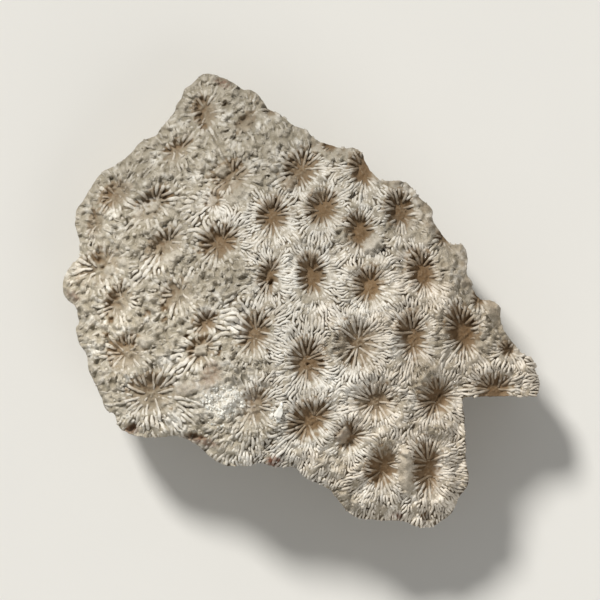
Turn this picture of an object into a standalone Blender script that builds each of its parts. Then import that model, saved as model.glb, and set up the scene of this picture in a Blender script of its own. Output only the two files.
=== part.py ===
"""A fossil coral head: one broken piece of a massive colony, lying on the flat cut under it.

The upper surface is the colony's own: a low dome crowded with calices, the star-shaped
pits that the polyps sat in. Ribs, the septa, run from pit to pit over the walls between.
Its outer margin is weathered and scalloped, and two straight breaks leave a beak at the right.
It is one natural piece, so it is one closed body. Metres, +Z up, the origin in the middle
of the base.
"""

import math
from collections import namedtuple

import bmesh
import bpy
import numpy as np
from mathutils import Vector, noise
from mathutils.geometry import delaunay_2d_cdt

MM = 0.001

# The driving dimensions are in millimetres.
PEAK_HEIGHT = 26.0
PEAK = (2.0, -4.0)
DOME_FALL = 14.0  # below the peak at DOME_REACH from it
DOME_REACH = (36.0, 38.0)
MARGIN_ROLL = 1.7  # how far the weathered margin turns down
MARGIN_ROLL_WIDTH = 1.9
SWELL = 0.7  # broad unevenness of the dome
SWELL_LENGTH = 13.0
CRUST = 0.3  # small unevenness of the worn crust
CRUST_LENGTH = 2.6

BOWL_FLOOR = 0.25  # of a calice's radius
BOWL_LIP = 1.2
SEPTA = 12  # main ribs of a full calice
SEPTUM_RISE = 0.28  # of a rib above the mean surface, and of a groove below it
SEPTUM_INNER = 0.3  # ribs start at this share of a calice's radius
RING_REACHES = (0.36, 0.68, 1.0, 1.34, 1.7)
MIN_GAP = 0.5  # between two points of the surface
FILL_PITCH = 0.95
FILL_JITTER = 0.2
MARGIN_PITCH = 1.25
MARGIN_JITTER = 0.12

# The broken sides: shares of the way down, and how wide the piece is there against its margin.
SIDE_LEVELS = ((0.1, 1.0), (0.3, 0.99), (0.52, 0.97), (0.76, 0.94), (1.0, 0.91))
SIDE_ROUGHNESS = 0.9
SIDE_LENGTH = 3.2

STONE_COLOUR = (0.36, 0.32, 0.25, 1.0)
STONE_ROUGHNESS = 0.85

# The weathered margin, from the tip of the beak up over the top and down to the break.
MARGIN = [
    (35.4, -14.3), (35.9, -12.3), (35.2, -10.9), (35.1, -9.7), (34.1, -8.5), (32.8, -7.7),
    (31.7, -6.5), (30.6, -5.0), (29.8, -3.7), (29.7, -2.2), (29.9, -1.1), (28.6, -0.1),
    (26.5, 0.1), (25.5, 1.6), (24.6, 4.0), (24.9, 6.4), (24.5, 7.8), (23.8, 8.3),
    (22.4, 8.3), (21.0, 9.7), (19.6, 11.8), (19.6, 13.3), (19.0, 14.2), (17.9, 14.9),
    (16.8, 16.4), (15.8, 17.4), (14.4, 17.9), (13.0, 17.7), (11.8, 17.7), (10.4, 19.2),
    (9.5, 20.6), (9.2, 21.9), (8.1, 22.7), (5.8, 22.6), (4.1, 23.3), (2.6, 23.6),
    (1.4, 24.6), (0.6, 25.5), (-1.2, 26.0), (-2.2, 27.0), (-3.3, 28.0), (-5.0, 28.5),
    (-5.6, 29.7), (-6.5, 30.8), (-7.6, 31.6), (-8.7, 31.6), (-9.9, 32.5), (-11.6, 33.4),
    (-13.4, 34.0), (-14.8, 34.1), (-15.6, 33.4), (-16.4, 32.5), (-17.6, 31.7), (-17.9, 30.6),
    (-18.6, 29.6), (-19.0, 28.2), (-20.5, 26.4), (-21.7, 24.7), (-23.1, 24.2), (-24.2, 23.8),
    (-25.1, 22.5), (-26.5, 21.2), (-28.3, 20.1), (-30.0, 19.3), (-31.1, 17.9), (-32.6, 15.3),
    (-33.9, 13.5), (-34.0, 11.4), (-33.3, 9.3), (-33.2, 6.4), (-34.4, 5.4), (-35.3, 4.2),
    (-35.9, 2.7), (-35.8, 1.0), (-35.1, -0.1), (-34.1, -0.6), (-33.6, -1.7), (-33.3, -3.4),
    (-33.8, -4.3), (-33.6, -6.1), (-33.1, -7.0), (-32.3, -7.8), (-32.0, -9.2), (-31.9, -10.7),
    (-30.8, -12.6), (-30.0, -14.5), (-29.4, -16.2), (-28.8, -16.8), (-27.9, -17.0), (-27.5, -18.4),
    (-27.1, -19.3), (-25.4, -20.1), (-23.6, -20.6), (-20.8, -20.4), (-18.4, -20.2), (-16.6, -20.9),
    (-14.9, -22.0), (-13.5, -23.4), (-11.3, -24.7), (-7.9, -24.7), (-5.9, -24.2), (-4.1, -24.8),
    (-1.0, -24.7), (0.2, -26.0), (1.4, -26.9), (2.9, -27.4), (4.4, -28.3), (5.9, -30.2),
    (7.0, -31.7), (8.5, -32.6), (11.4, -32.9), (14.2, -33.0), (15.7, -33.1), (16.6, -33.6),
    (18.3, -34.1), (19.7, -34.0), (20.9, -33.2), (22.3, -32.2), (23.2, -30.9), (23.5, -29.5),
    (24.6, -28.3), (25.2, -26.5), (24.7, -24.8), (24.6, -23.3),
]

# The two straight breaks under the beak, up to the inner corner and out to the beak's tip.
BREAK = [(24.4, -19.6), (24.3, -16.9), (24.0, -16.1), (24.1, -14.4), (29.7, -14.4)]

# Each pit: its middle, half its length and width, the turn of its length from +X in degrees,
# and its depth.
Calice = namedtuple("Calice", "x y long short turn depth")
CALICES = [
    Calice(-14.2, 28.1, 2.7, 1.9, 100, 1.9),
    Calice(-18.4, 22.3, 2.5, 1.5, 38, 1.7),
    Calice(-27.6, 15.8, 3.0, 1.8, 40, 1.4),
    Calice(-22.3, 14.1, 3.3, 1.9, 38, 2.0),
    Calice(-30.6, 11.7, 2.1, 1.3, 80, 0.7),
    Calice(-20.2, 8.1, 3.3, 1.9, 42, 2.0),
    Calice(-29.7, 5.0, 3.6, 2.4, 30, 1.7),
    Calice(-27.3, -0.3, 3.0, 1.8, 60, 1.8),
    Calice(-18.0, 0.9, 2.7, 2.1, 30, 0.8),
    Calice(-10.5, 18.1, 3.0, 2.5, 30, 1.9),
    Calice(-12.9, 14.7, 1.6, 1.3, 60, 1.3),
    Calice(-8.2, 26.4, 2.1, 1.2, 50, 0.7),
    Calice(-12.0, 8.4, 3.3, 2.5, 35, 1.9),
    Calice(-4.2, 12.2, 3.0, 2.5, 80, 1.8),
    Calice(0.0, 19.1, 3.3, 2.5, 60, 2.0),
    Calice(3.3, 13.5, 3.0, 2.5, 60, 1.8),
    Calice(9.2, 19.1, 3.0, 1.9, 110, 1.8),
    Calice(14.8, 13.0, 3.3, 2.2, 105, 2.4),
    Calice(8.8, 10.0, 3.0, 2.2, 100, 1.8),
    Calice(-4.6, 3.6, 2.9, 1.6, 75, 1.7),
    Calice(1.6, 3.4, 3.4, 2.2, 100, 2.2),
    Calice(10.2, 1.9, 3.0, 2.4, 75, 1.8),
    Calice(18.1, 3.9, 3.6, 2.2, 105, 2.3),
    Calice(-14.2, -3.4, 2.2, 1.5, 45, 1.9),
    Calice(-14.7, -7.3, 2.5, 1.9, 60, 1.6),
    Calice(-6.8, -5.1, 3.3, 2.4, 70, 1.8),
    Calice(0.8, -9.4, 3.6, 2.7, 95, 2.0),
    Calice(8.4, -6.5, 3.6, 3.0, 80, 2.2),
    Calice(16.5, -5.7, 3.9, 2.4, 95, 2.2),
    Calice(24.1, -5.0, 4.0, 2.5, 105, 2.4),
    Calice(28.9, -13.3, 3.0, 2.2, 0, 1.6),
    Calice(20.2, -14.7, 3.3, 2.5, 60, 1.8),
    Calice(11.1, -15.1, 3.0, 2.7, 0, 1.6),
    Calice(1.5, -17.8, 3.8, 2.7, 40, 1.9),
    Calice(7.2, -20.4, 2.5, 2.1, 45, 1.8),
    Calice(12.2, -24.9, 3.3, 2.4, 70, 1.9),
    Calice(18.9, -25.2, 4.2, 2.4, 92, 1.9),
    Calice(-7.0, -15.9, 3.0, 2.4, 45, 1.4),
    Calice(-25.9, -7.8, 3.0, 2.5, 30, 1.4),
    Calice(-22.3, -14.1, 3.6, 3.0, 10, 1.4),
    Calice(21.3, 9.2, 1.5, 1.2, 45, 1.2),
    Calice(26.6, 0.1, 1.5, 1.2, 45, 1.1),
    Calice(30.9, -7.5, 1.5, 1.1, 130, 1.4),
    Calice(4.5, 22.8, 1.3, 0.9, 0, 1.0),
    Calice(-4.3, 28.2, 1.3, 0.9, 30, 1.0),
]

# Lumps of hardened sediment, stuck to the surface and in some of the pits: the oval of each
# and how far it stands up.
Lump = namedtuple("Lump", "x y long short turn rise")
LUMPS = [
    Lump(-9.2, 15.5, 1.8, 1.4, 20, 0.8),
    Lump(15.6, -25.5, 3.6, 1.1, 90, 0.6),
    Lump(6.5, -20.1, 1.2, 1.0, 30, 1.4),
    Lump(-23.4, -6.2, 1.1, 0.9, 0, 1.1),
    Lump(-1.7, 17.3, 1.2, 1.0, 60, 1.2),
    Lump(10.5, 8.0, 1.9, 1.5, 40, 1.1),
    Lump(-13.4, -11.8, 2.4, 1.7, 50, 0.5),
    Lump(-14.8, -7.4, 1.0, 0.9, 0, 1.0),
]


def clear_scene():
    for obj in list(bpy.data.objects):
        bpy.data.objects.remove(obj, do_unlink=True)


def smoothstep(low, high, value):
    share = np.clip((value - low) / (high - low), 0.0, 1.0)
    return share * share * (3.0 - 2.0 * share)


def noise_at(points, length, seed):
    """Smooth noise from -1 to 1 at points in the plane, with lumps of about this length."""
    return np.array([noise.noise(Vector((x / length, y / length, seed))) for x, y in points])


def distance_to_path(points, path):
    """Distance of each point from the nearest stretch of an open path."""
    start = np.array(path[:-1])
    along = np.array(path[1:]) - start
    offset = points[:, None, :] - start
    share = np.clip((offset * along).sum(2) / (along * along).sum(1), 0.0, 1.0)
    return np.linalg.norm(offset - share[..., None] * along, axis=2).min(1)


def inside_outline(points, outline):
    """Whether each point lies inside the closed outline, by counting the edges to its right."""
    inside = np.zeros(len(points), bool)
    for (x1, y1), (x2, y2) in zip(outline, np.roll(outline, -1, axis=0)):
        if y1 == y2:
            continue
        crosses = (y1 > points[:, 1]) != (y2 > points[:, 1])
        edge_x = x1 + (points[:, 1] - y1) * (x2 - x1) / (y2 - y1)
        inside ^= crosses & (points[:, 0] < edge_x)
    return inside


def within(points, oval):
    """Distance from an oval's middle as a share of its radius, and the angle round it."""
    turn = math.radians(oval.turn)
    x = points[:, 0] - oval.x
    y = points[:, 1] - oval.y
    along = (x * math.cos(turn) + y * math.sin(turn)) / oval.long
    across = (y * math.cos(turn) - x * math.sin(turn)) / oval.short
    return np.hypot(along, across), np.arctan2(across, along)


def beyond_lip(points):
    """How far each point lies outside each calice's lip, in millimetres."""
    rows = []
    for calice in CALICES:
        reach, _ = within(points, calice)
        rows.append((reach - 1.0) * math.sqrt(calice.long * calice.short))
    return np.array(rows)


def resampled_outline():
    """Points at an even pitch round the margin and the breaks, the margin's a little uneven."""
    corners = [Vector(corner) for corner in MARGIN + BREAK]
    points = []
    for i, corner in enumerate(corners):
        following = corners[(i + 1) % len(corners)]
        steps = max(1, round((following - corner).length / MARGIN_PITCH))
        points += [corner.lerp(following, step / steps) for step in range(steps)]
    points = np.array([tuple(point) for point in points])
    weathered = distance_to_path(points, BREAK) > MARGIN_PITCH
    for axis in range(2):
        points[:, axis] += MARGIN_JITTER * weathered * noise_at(points, 1.0, 10.0 + axis)
    return points


def septum_points(calice):
    """Rings round a calice, their points in turn on a rib and in a groove."""
    turn = math.radians(calice.turn)
    points = [(calice.x, calice.y)]
    for reach in RING_REACHES:
        for side in range(2 * SEPTA):
            angle = math.pi * side / SEPTA
            along = calice.long * reach * math.cos(angle)
            across = calice.short * reach * math.sin(angle)
            x = calice.x + along * math.cos(turn) - across * math.sin(turn)
            y = calice.y + along * math.sin(turn) + across * math.cos(turn)
            points.append((x, y))
    return np.array(points)


def filler_points(outline):
    """An uneven lattice over the whole surface, for the stretches that no ring reaches."""
    low, high = outline.min(0), outline.max(0)
    row_pitch = FILL_PITCH * math.sqrt(0.75)
    points = []
    for row in range(math.ceil((high[1] - low[1]) / row_pitch)):
        start = low[0] + FILL_PITCH * 0.5 * (row % 2)
        for column in range(math.ceil((high[0] - low[0]) / FILL_PITCH)):
            points.append((start + column * FILL_PITCH, low[1] + row * row_pitch))
    points = np.array(points)
    for axis in range(2):
        points[:, axis] += FILL_JITTER * noise_at(points, 0.7, 20.0 + axis)
    return points


def surface_points(outline):
    """The outline's points, then the calices' rings, each in its own cell, then the filler."""
    closed = np.vstack([outline, outline[:1]])
    kept = list(outline)
    for owner, calice in enumerate(CALICES):
        ring = septum_points(calice)
        own = beyond_lip(ring).argmin(0) == owner
        add_spaced(kept, ring[own], closed, MIN_GAP)
    add_spaced(kept, filler_points(outline), closed, FILL_PITCH * 0.85)
    return np.array(kept)


def add_spaced(kept, candidates, closed, gap):
    """Adds the candidates that lie inside the outline and keep this gap to all points so far."""
    clear = distance_to_path(candidates, closed) > gap
    for point in candidates[clear & inside_outline(candidates, closed[:-1])]:
        if np.hypot(*(np.array(kept) - point).T).min() > gap:
            kept.append(point)


def surface_height(points):
    """Height of the colony's surface over the base: dome, rolled margin, pits and ribs."""
    x, y = points.T
    spread = ((x - PEAK[0]) / DOME_REACH[0]) ** 2 + ((y - PEAK[1]) / DOME_REACH[1]) ** 2
    height = PEAK_HEIGHT - DOME_FALL * spread
    height -= MARGIN_ROLL * np.exp(-distance_to_path(points, MARGIN) / MARGIN_ROLL_WIDTH)
    height += SWELL * noise_at(points, SWELL_LENGTH, 1.0)
    height += CRUST * noise_at(points, CRUST_LENGTH, 2.0)
    owner = beyond_lip(points).argmin(0)
    for number, calice in enumerate(CALICES):
        reach, angle = within(points, calice)
        height -= calice.depth * (1.0 - smoothstep(BOWL_FLOOR, BOWL_LIP, reach))
        ribbed = smoothstep(SEPTUM_INNER, 0.6, reach) * (1.0 - smoothstep(1.4, 2.2, reach))
        height += SEPTUM_RISE * np.cos(SEPTA * angle) * ribbed * (owner == number)
    for lump in LUMPS:
        reach, _ = within(points, lump)
        height += lump.rise * (1.0 - smoothstep(0.3, 1.3, reach))
    return height


def add_top(mesh, outline):
    """The colony's surface: a triangulated sheet inside the outline, raised to its height."""
    flat = surface_points(outline)
    rim = list(range(len(outline)))
    corners, _, faces, _, _, _ = delaunay_2d_cdt(
        [Vector(point) for point in flat], [], [rim], 1, 1e-5
    )
    flat = np.array([tuple(corner) for corner in corners])
    height = surface_height(flat)
    verts = [mesh.verts.new((x, y, z)) for (x, y), z in zip(flat, height)]
    for face in faces:
        mesh.faces.new([verts[i] for i in face])


def add_sides(mesh):
    """The broken sides: the sheet's edge drawn down to the base in rough levels."""
    edges = [edge for edge in mesh.edges if edge.is_boundary]
    above, wide_above = 0.0, 1.0
    for level, wide in SIDE_LEVELS:
        made = bmesh.ops.extrude_edge_only(mesh, edges=edges)["geom"]
        verts = [item for item in made if isinstance(item, bmesh.types.BMVert)]
        edges = [item for item in made if isinstance(item, bmesh.types.BMEdge)]
        edges = [edge for edge in edges if edge.is_boundary]
        for vert in verts:
            vert.co.z *= (1.0 - level) / (1.0 - above)
            rough = SIDE_ROUGHNESS * min(noise.noise(vert.co / SIDE_LENGTH), 0.0)
            vert.co.xy *= wide / wide_above + rough / vert.co.xy.length
        above, wide_above = level, wide
    bmesh.ops.contextual_create(mesh, geom=edges)


def stone_material():
    material = bpy.data.materials.new("fossil_limestone")
    material.use_nodes = True
    shader = material.node_tree.nodes["Principled BSDF"]
    shader.inputs["Base Color"].default_value = STONE_COLOUR
    shader.inputs["Roughness"].default_value = STONE_ROUGHNESS
    shader.inputs["Metallic"].default_value = 0.0
    return material


def coral_head():
    """The whole piece, as one closed body."""
    mesh = bmesh.new()
    add_top(mesh, resampled_outline())
    add_sides(mesh)
    bmesh.ops.triangulate(mesh, faces=mesh.faces[:])
    bmesh.ops.recalc_face_normals(mesh, faces=mesh.faces[:])
    bmesh.ops.scale(mesh, vec=(MM, MM, MM), verts=mesh.verts[:])
    data = bpy.data.meshes.new("coral_head")
    mesh.to_mesh(data)
    mesh.free()
    data.materials.append(stone_material())
    return bpy.data.objects.new("coral_head", data)


def main():
    clear_scene()
    collection = bpy.data.collections.new("fossil_coral_head")
    bpy.context.scene.collection.children.link(collection)
    collection.objects.link(coral_head())


main()
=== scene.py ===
"""Fossil coral head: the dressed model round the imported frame.

The stone is two closed shells: the upper crust, and the broken flank with its flat base. The
ribs (septa) that run from pit to pit are swept along traced paths, and crumbs of sediment and
calcite crystals lie on the crust. Lengths inside the colony are in millimetres, and become
metres when a mesh is made.
"""

import functools
import math
from collections import namedtuple

import bmesh
import bpy
import numpy as np
from bpy.props import FloatProperty, FloatVectorProperty, IntProperty, PointerProperty
from bpy.types import Operator, Panel, PropertyGroup
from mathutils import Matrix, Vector, kdtree, noise
from mathutils.geometry import delaunay_2d_cdt


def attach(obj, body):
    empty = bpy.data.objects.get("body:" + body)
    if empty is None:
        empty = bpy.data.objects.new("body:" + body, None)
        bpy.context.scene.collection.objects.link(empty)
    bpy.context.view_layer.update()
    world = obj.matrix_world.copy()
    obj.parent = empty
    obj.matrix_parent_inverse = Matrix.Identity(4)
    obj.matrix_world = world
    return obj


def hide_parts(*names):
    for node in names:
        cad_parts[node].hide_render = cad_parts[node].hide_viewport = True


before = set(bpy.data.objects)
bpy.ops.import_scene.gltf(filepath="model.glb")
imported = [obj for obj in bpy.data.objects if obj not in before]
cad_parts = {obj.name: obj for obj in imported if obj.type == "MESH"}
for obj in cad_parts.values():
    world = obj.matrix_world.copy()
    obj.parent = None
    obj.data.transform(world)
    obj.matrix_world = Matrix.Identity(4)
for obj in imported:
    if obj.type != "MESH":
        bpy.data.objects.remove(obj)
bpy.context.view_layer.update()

bl_info = {
    "name": "Fossil coral head",
    "version": (1, 0, 0),
    "blender": (4, 5, 0),
    "location": "View3D > Sidebar > Coral",
    "description": "Builds a piece of fossil coral with its ribbed pits, crumbs and crystals",
    "category": "Object",
}

MM = 0.001
NODE = "coral_head"
BODY = "root"

# The shape that the frame has, in millimetres.
PEAK_HEIGHT = 26.0
PEAK = (2.0, -4.0)
DOME_FALL = 14.0
DOME_REACH = (36.0, 38.0)
MARGIN_ROLL = 1.7
MARGIN_ROLL_WIDTH = 1.9
SWELL = 0.7
SWELL_LENGTH = 13.0
CRUST = 0.3
CRUST_LENGTH = 2.6
SIDE_LEVELS = ((0.0, 1.0), (0.1, 1.0), (0.3, 0.99), (0.52, 0.97), (0.76, 0.94), (1.0, 0.91))

# Each pit: its middle, half its length and width, the turn of its length from +X in degrees,
# and its depth.
Calice = namedtuple("Calice", "x y long short turn depth")
CALICES = [
    Calice(-14.2, 28.1, 2.7, 1.9, 100, 1.9), Calice(-18.4, 22.3, 2.5, 1.5, 38, 1.7),
    Calice(-27.6, 15.8, 3.0, 1.8, 40, 1.4), Calice(-22.3, 14.1, 3.3, 1.9, 38, 2.0),
    Calice(-30.6, 11.7, 2.1, 1.3, 80, 0.7), Calice(-20.2, 8.1, 3.3, 1.9, 42, 2.0),
    Calice(-29.7, 5.0, 3.6, 2.4, 30, 1.7), Calice(-27.3, -0.3, 3.0, 1.8, 60, 1.8),
    Calice(-18.0, 0.9, 2.7, 2.1, 30, 0.8), Calice(-10.5, 18.1, 3.0, 2.5, 30, 1.9),
    Calice(-12.9, 14.7, 1.6, 1.3, 60, 1.3), Calice(-8.2, 26.4, 2.1, 1.2, 50, 0.7),
    Calice(-12.0, 8.4, 3.3, 2.5, 35, 1.9), Calice(-4.2, 12.2, 3.0, 2.5, 80, 1.8),
    Calice(0.0, 19.1, 3.3, 2.5, 60, 2.0), Calice(3.3, 13.5, 3.0, 2.5, 60, 1.8),
    Calice(9.2, 19.1, 3.0, 1.9, 110, 1.8), Calice(14.8, 13.0, 3.3, 2.2, 105, 2.4),
    Calice(8.8, 10.0, 3.0, 2.2, 100, 1.8), Calice(-4.6, 3.6, 2.9, 1.6, 75, 1.7),
    Calice(1.6, 3.4, 3.4, 2.2, 100, 2.2), Calice(10.2, 1.9, 3.0, 2.4, 75, 1.8),
    Calice(18.1, 3.9, 3.6, 2.2, 105, 2.3), Calice(-14.2, -3.4, 2.2, 1.5, 45, 1.9),
    Calice(-14.7, -7.3, 2.5, 1.9, 60, 1.6), Calice(-6.8, -5.1, 3.3, 2.4, 70, 1.8),
    Calice(0.8, -9.4, 3.6, 2.7, 95, 2.0), Calice(8.4, -6.5, 3.6, 3.0, 80, 2.2),
    Calice(16.5, -5.7, 3.9, 2.4, 95, 2.2), Calice(24.1, -5.0, 4.0, 2.5, 105, 2.4),
    Calice(28.9, -13.3, 3.0, 2.2, 0, 1.6), Calice(20.2, -14.7, 3.3, 2.5, 60, 1.8),
    Calice(11.1, -15.1, 3.0, 2.7, 0, 1.6), Calice(1.5, -17.8, 3.8, 2.7, 40, 1.9),
    Calice(7.2, -20.4, 2.5, 2.1, 45, 1.8), Calice(12.2, -24.9, 3.3, 2.4, 70, 1.9),
    Calice(18.9, -25.2, 4.2, 2.4, 92, 1.9), Calice(-7.0, -15.9, 3.0, 2.4, 45, 1.4),
    Calice(-25.9, -7.8, 3.0, 2.5, 30, 1.4), Calice(-22.3, -14.1, 3.6, 3.0, 10, 1.4),
    Calice(21.3, 9.2, 1.5, 1.2, 45, 1.2), Calice(26.6, 0.1, 1.5, 1.2, 45, 1.1),
    Calice(30.9, -7.5, 1.5, 1.1, 130, 1.4), Calice(4.5, 22.8, 1.3, 0.9, 0, 1.0),
    Calice(-4.3, 28.2, 1.3, 0.9, 30, 1.0),
]

# Lumps of hardened sediment: the oval of each, and how far it stands up.
Oval = namedtuple("Oval", "x y long short turn strength")
LUMPS = [
    Oval(-9.0, 15.4, 1.4, 1.1, 20, 0.8), Oval(15.6, -25.5, 3.6, 1.1, 90, 0.6),
    Oval(6.3, -20.0, 1.5, 0.85, 65, 1.3), Oval(-23.4, -6.2, 1.1, 0.9, 0, 1.1),
    Oval(-1.7, 17.3, 1.2, 1.0, 60, 1.2), Oval(10.6, 8.2, 1.6, 1.25, 40, 1.2),
    Oval(-13.4, -11.8, 2.4, 1.7, 50, 0.5), Oval(-14.8, -7.4, 1.0, 0.9, 0, 1.0),
    Oval(-22.2, 13.7, 1.5, 0.6, 35, 0.8), Oval(-11.7, 19.2, 1.2, 0.9, 20, 0.8),
    Oval(-9.8, 17.2, 0.9, 0.7, 0, 0.6), Oval(-13.2, 14.8, 0.9, 0.7, 60, 0.6),
    Oval(-19.0, 6.4, 1.4, 0.9, 30, 0.9), Oval(-28.6, 4.4, 1.0, 0.8, 0, 0.7),
    Oval(-26.6, 5.6, 0.8, 0.7, 0, 0.6), Oval(-11.5, -15.2, 3.0, 2.0, 0, 0.2),
    Oval(-16.8, -13.0, 2.1, 1.0, 20, 0.3),
]

# Patches where the ribs are worn away or covered by hardened mud.
WORN_PATCHES = [
    Oval(5.1, -6.8, 1.5, 2.1, 0, 0.9), Oval(15.6, -26.1, 0.8, 3.0, 0, 0.5),
    Oval(18.4, -10.7, 1.9, 1.2, -20, 0.9), Oval(17.6, -12.9, 1.3, 1.1, 0, 0.7),
    Oval(15.1, -15.4, 1.3, 0.9, 0, 0.6), Oval(12.2, -21.6, 2.1, 1.2, 0, 0.6),
    Oval(20.8, -19.8, 1.8, 1.2, 0, 0.5), Oval(20.8, -4.5, 0.9, 3.0, -5, 0.7),
    Oval(27.1, -6.5, 1.1, 2.4, 15, 0.75), Oval(4.6, -24.3, 2.1, 1.5, -30, 0.6),
    Oval(6.6, -29.7, 2.7, 1.2, -35, 0.7), Oval(21.9, 5.1, 1.5, 3.3, 20, 0.75),
    Oval(17.6, 10.2, 2.1, 1.1, -45, 0.7), Oval(13.0, 10.5, 1.2, 1.1, 0, 0.6),
    Oval(5.1, 21.4, 1.8, 1.1, -10, 0.8), Oval(6.6, 17.6, 1.3, 0.9, 0, 0.5),
    Oval(2.5, 16.2, 1.3, 0.9, 0, 0.5), Oval(6.3, 9.4, 1.3, 1.3, 0, 0.8),
    Oval(0.6, -0.3, 2.1, 1.2, 0, 0.45), Oval(-5.8, -9.6, 1.8, 0.9, -20, 0.8),
    Oval(-11.2, -9.0, 1.8, 1.3, 20, 0.85), Oval(-16.9, -12.9, 2.1, 0.9, 15, 0.9),
    Oval(-11.8, -16.5, 3.6, 2.7, -5, 0.9), Oval(-19.6, -15.8, 1.5, 1.2, 0, 0.6),
    Oval(-20.4, -5.0, 3.3, 2.4, 0, 0.85), Oval(-31.6, -4.5, 1.9, 3.9, 5, 0.9),
    Oval(-30.4, -13.2, 1.5, 3.3, 20, 0.7), Oval(-32.4, 1.5, 2.1, 2.1, 0, 0.8),
    Oval(-27.9, 9.3, 3.3, 1.8, 0, 0.85), Oval(-23.4, 7.8, 2.1, 1.3, 0, 0.8),
    Oval(-22.6, 18.3, 5.1, 1.3, 30, 0.75), Oval(-12.9, 2.1, 4.2, 1.8, 0, 0.8),
    Oval(-14.4, 20.6, 3.3, 1.5, -10, 0.8), Oval(-6.9, 25.5, 4.8, 2.2, -30, 0.85),
    Oval(-10.9, 31.2, 3.3, 1.9, -30, 0.85), Oval(-18.4, 28.2, 1.8, 3.9, -25, 0.8),
    Oval(-25.9, 19.8, 5.1, 1.3, 33, 0.85), Oval(-31.6, 13.5, 1.8, 3.3, -15, 0.85),
    Oval(-9.2, 15.4, 1.8, 1.3, 20, 0.9), Oval(-9.2, 6.8, 1.8, 1.2, 0, 0.4),
    Oval(-25.6, -4.5, 1.8, 0.9, 10, 0.7),
]

# Wide zones where only the ribs close to a pit are left, and patches in them with every rib.
WORN_ZONES = [
    Oval(-27.0, 6.0, 13.0, 24.0, -12, 1.0), Oval(-12.0, 26.0, 14.0, 9.0, -25, 1.0),
    Oval(-15.0, -2.0, 9.0, 14.0, 10, 0.95), Oval(-17.0, -17.0, 14.0, 6.5, -8, 0.6),
    Oval(24.0, 6.0, 3.2, 16.0, 27, 0.8), Oval(4.0, 23.5, 9.0, 2.4, -20, 0.7),
]
SHARP_PATCHES = [
    Oval(-13.5, 12.5, 5.0, 3.6, -15, 1.0), Oval(-23.0, 4.2, 3.4, 1.5, 25, 1.0),
    Oval(-10.0, -1.8, 2.2, 4.6, -35, 1.0), Oval(-17.5, -9.0, 3.2, 2.4, 30, 0.9),
    Oval(-20.5, -16.5, 5.0, 4.0, 0, 0.8), Oval(-18.5, 16.2, 2.2, 1.6, 30, 0.8),
    Oval(-8.5, 14.0, 2.6, 2.0, 0, 0.7), Oval(-6.0, -22.0, 4.0, 2.5, 0, 0.8),
    Oval(-30.5, 3.0, 3.0, 4.0, 20, 0.5),
]

# Zones whose pits are half full of silt.
SILTED_ZONES = [
    Oval(-27.0, 6.0, 13.0, 24.0, -12, 0.9), Oval(-12.0, 26.0, 14.0, 9.0, -25, 0.7),
    Oval(-16.0, -15.0, 14.0, 10.0, -8, 0.8),
]

# Pits whose floor is paler than the others'.
PALE_PITS = [
    Oval(8.4, -6.5, 3.8, 3.2, 80, 0.4), Oval(11.1, -15.1, 3.2, 2.9, 0, 0.5),
    Oval(-22.3, -14.1, 3.8, 3.2, 10, 0.4), Oval(-18.0, 0.9, 3.0, 2.4, 30, 0.4),
    Oval(-31.6, 4.0, 1.8, 2.2, 0, 0.8),
]

# The broad zone where painted light makes the stone palest.
PAINTED_LIGHT_ZONES = [Oval(-34.0, -1.0, 17.0, 14.0, 0, 0.22)]

# Brown patches outside the pits.
BROWN_PATCHES = [
    Oval(-1.7, 17.3, 1.3, 1.2, 60, 0.8), Oval(-13.4, -11.9, 2.4, 1.5, 50, 0.5),
    Oval(-9.7, 17.2, 1.0, 0.8, 0, 0.6), Oval(-13.2, 14.9, 1.0, 0.8, 60, 0.5),
    Oval(-19.6, 9.6, 1.8, 1.4, 40, 0.5), Oval(-6.6, 30.2, 1.6, 0.9, -30, 0.4),
    Oval(6.5, -20.1, 1.5, 1.2, 30, 0.5), Oval(-27.2, -10.4, 1.6, 1.2, 30, 0.4),
    Oval(-31.0, 10.5, 1.4, 1.0, 70, 0.3),
]

# Zones where ribs have grown together and the pits have smooth floors.
PUFFY_ZONES = [
    Oval(13.0, 10.0, 17.0, 12.0, -45, 0.8), Oval(22.0, -6.0, 9.0, 8.0, 0, 0.8),
    Oval(16.0, -22.0, 8.0, 7.0, 0, 0.4),
]

# The smooth rolled lip along one side.
LIP_ZONES = [Oval(18.0, 13.0, 26.0, 7.0, -45, 1.0)]

# Small deep holes and cracks: the oval of each, and its depth.
HOLES = [
    Oval(-4.4, 2.7, 0.45, 0.3, 60, 1.2), Oval(7.7, 15.4, 0.5, 0.35, 30, 1.0),
    Oval(0.9, -9.5, 0.24, 0.2, 0, 0.7), Oval(12.1, 7.2, 0.9, 0.28, 55, 1.0),
    Oval(20.4, -14.5, 0.9, 0.17, 60, 0.6), Oval(-11.5, 29.3, 0.5, 0.35, 60, 1.0),
    Oval(-14.6, 26.0, 0.7, 0.5, 0, 0.7), Oval(-25.3, -19.0, 1.0, 0.5, 20, 1.0),
    Oval(-15.6, -20.2, 1.6, 0.4, -10, 0.9), Oval(18.5, -32.2, 0.9, 0.5, -30, 1.0),
    Oval(-12.0, -7.6, 0.7, 0.22, 70, 0.9), Oval(-17.0, -5.4, 0.5, 0.3, 20, 0.8),
    Oval(-4.9, -7.4, 0.6, 0.22, -60, 0.8), Oval(-22.9, -2.1, 0.7, 0.4, 30, 0.6),
    Oval(-20.5, -1.2, 0.5, 0.7, 0, 0.6), Oval(-20.3, -2.9, 0.5, 0.4, 0, 0.5),
    Oval(-29.1, -5.1, 0.5, 0.4, 20, 0.6), Oval(-28.5, -3.2, 0.7, 0.4, 60, 0.6),
]

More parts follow.
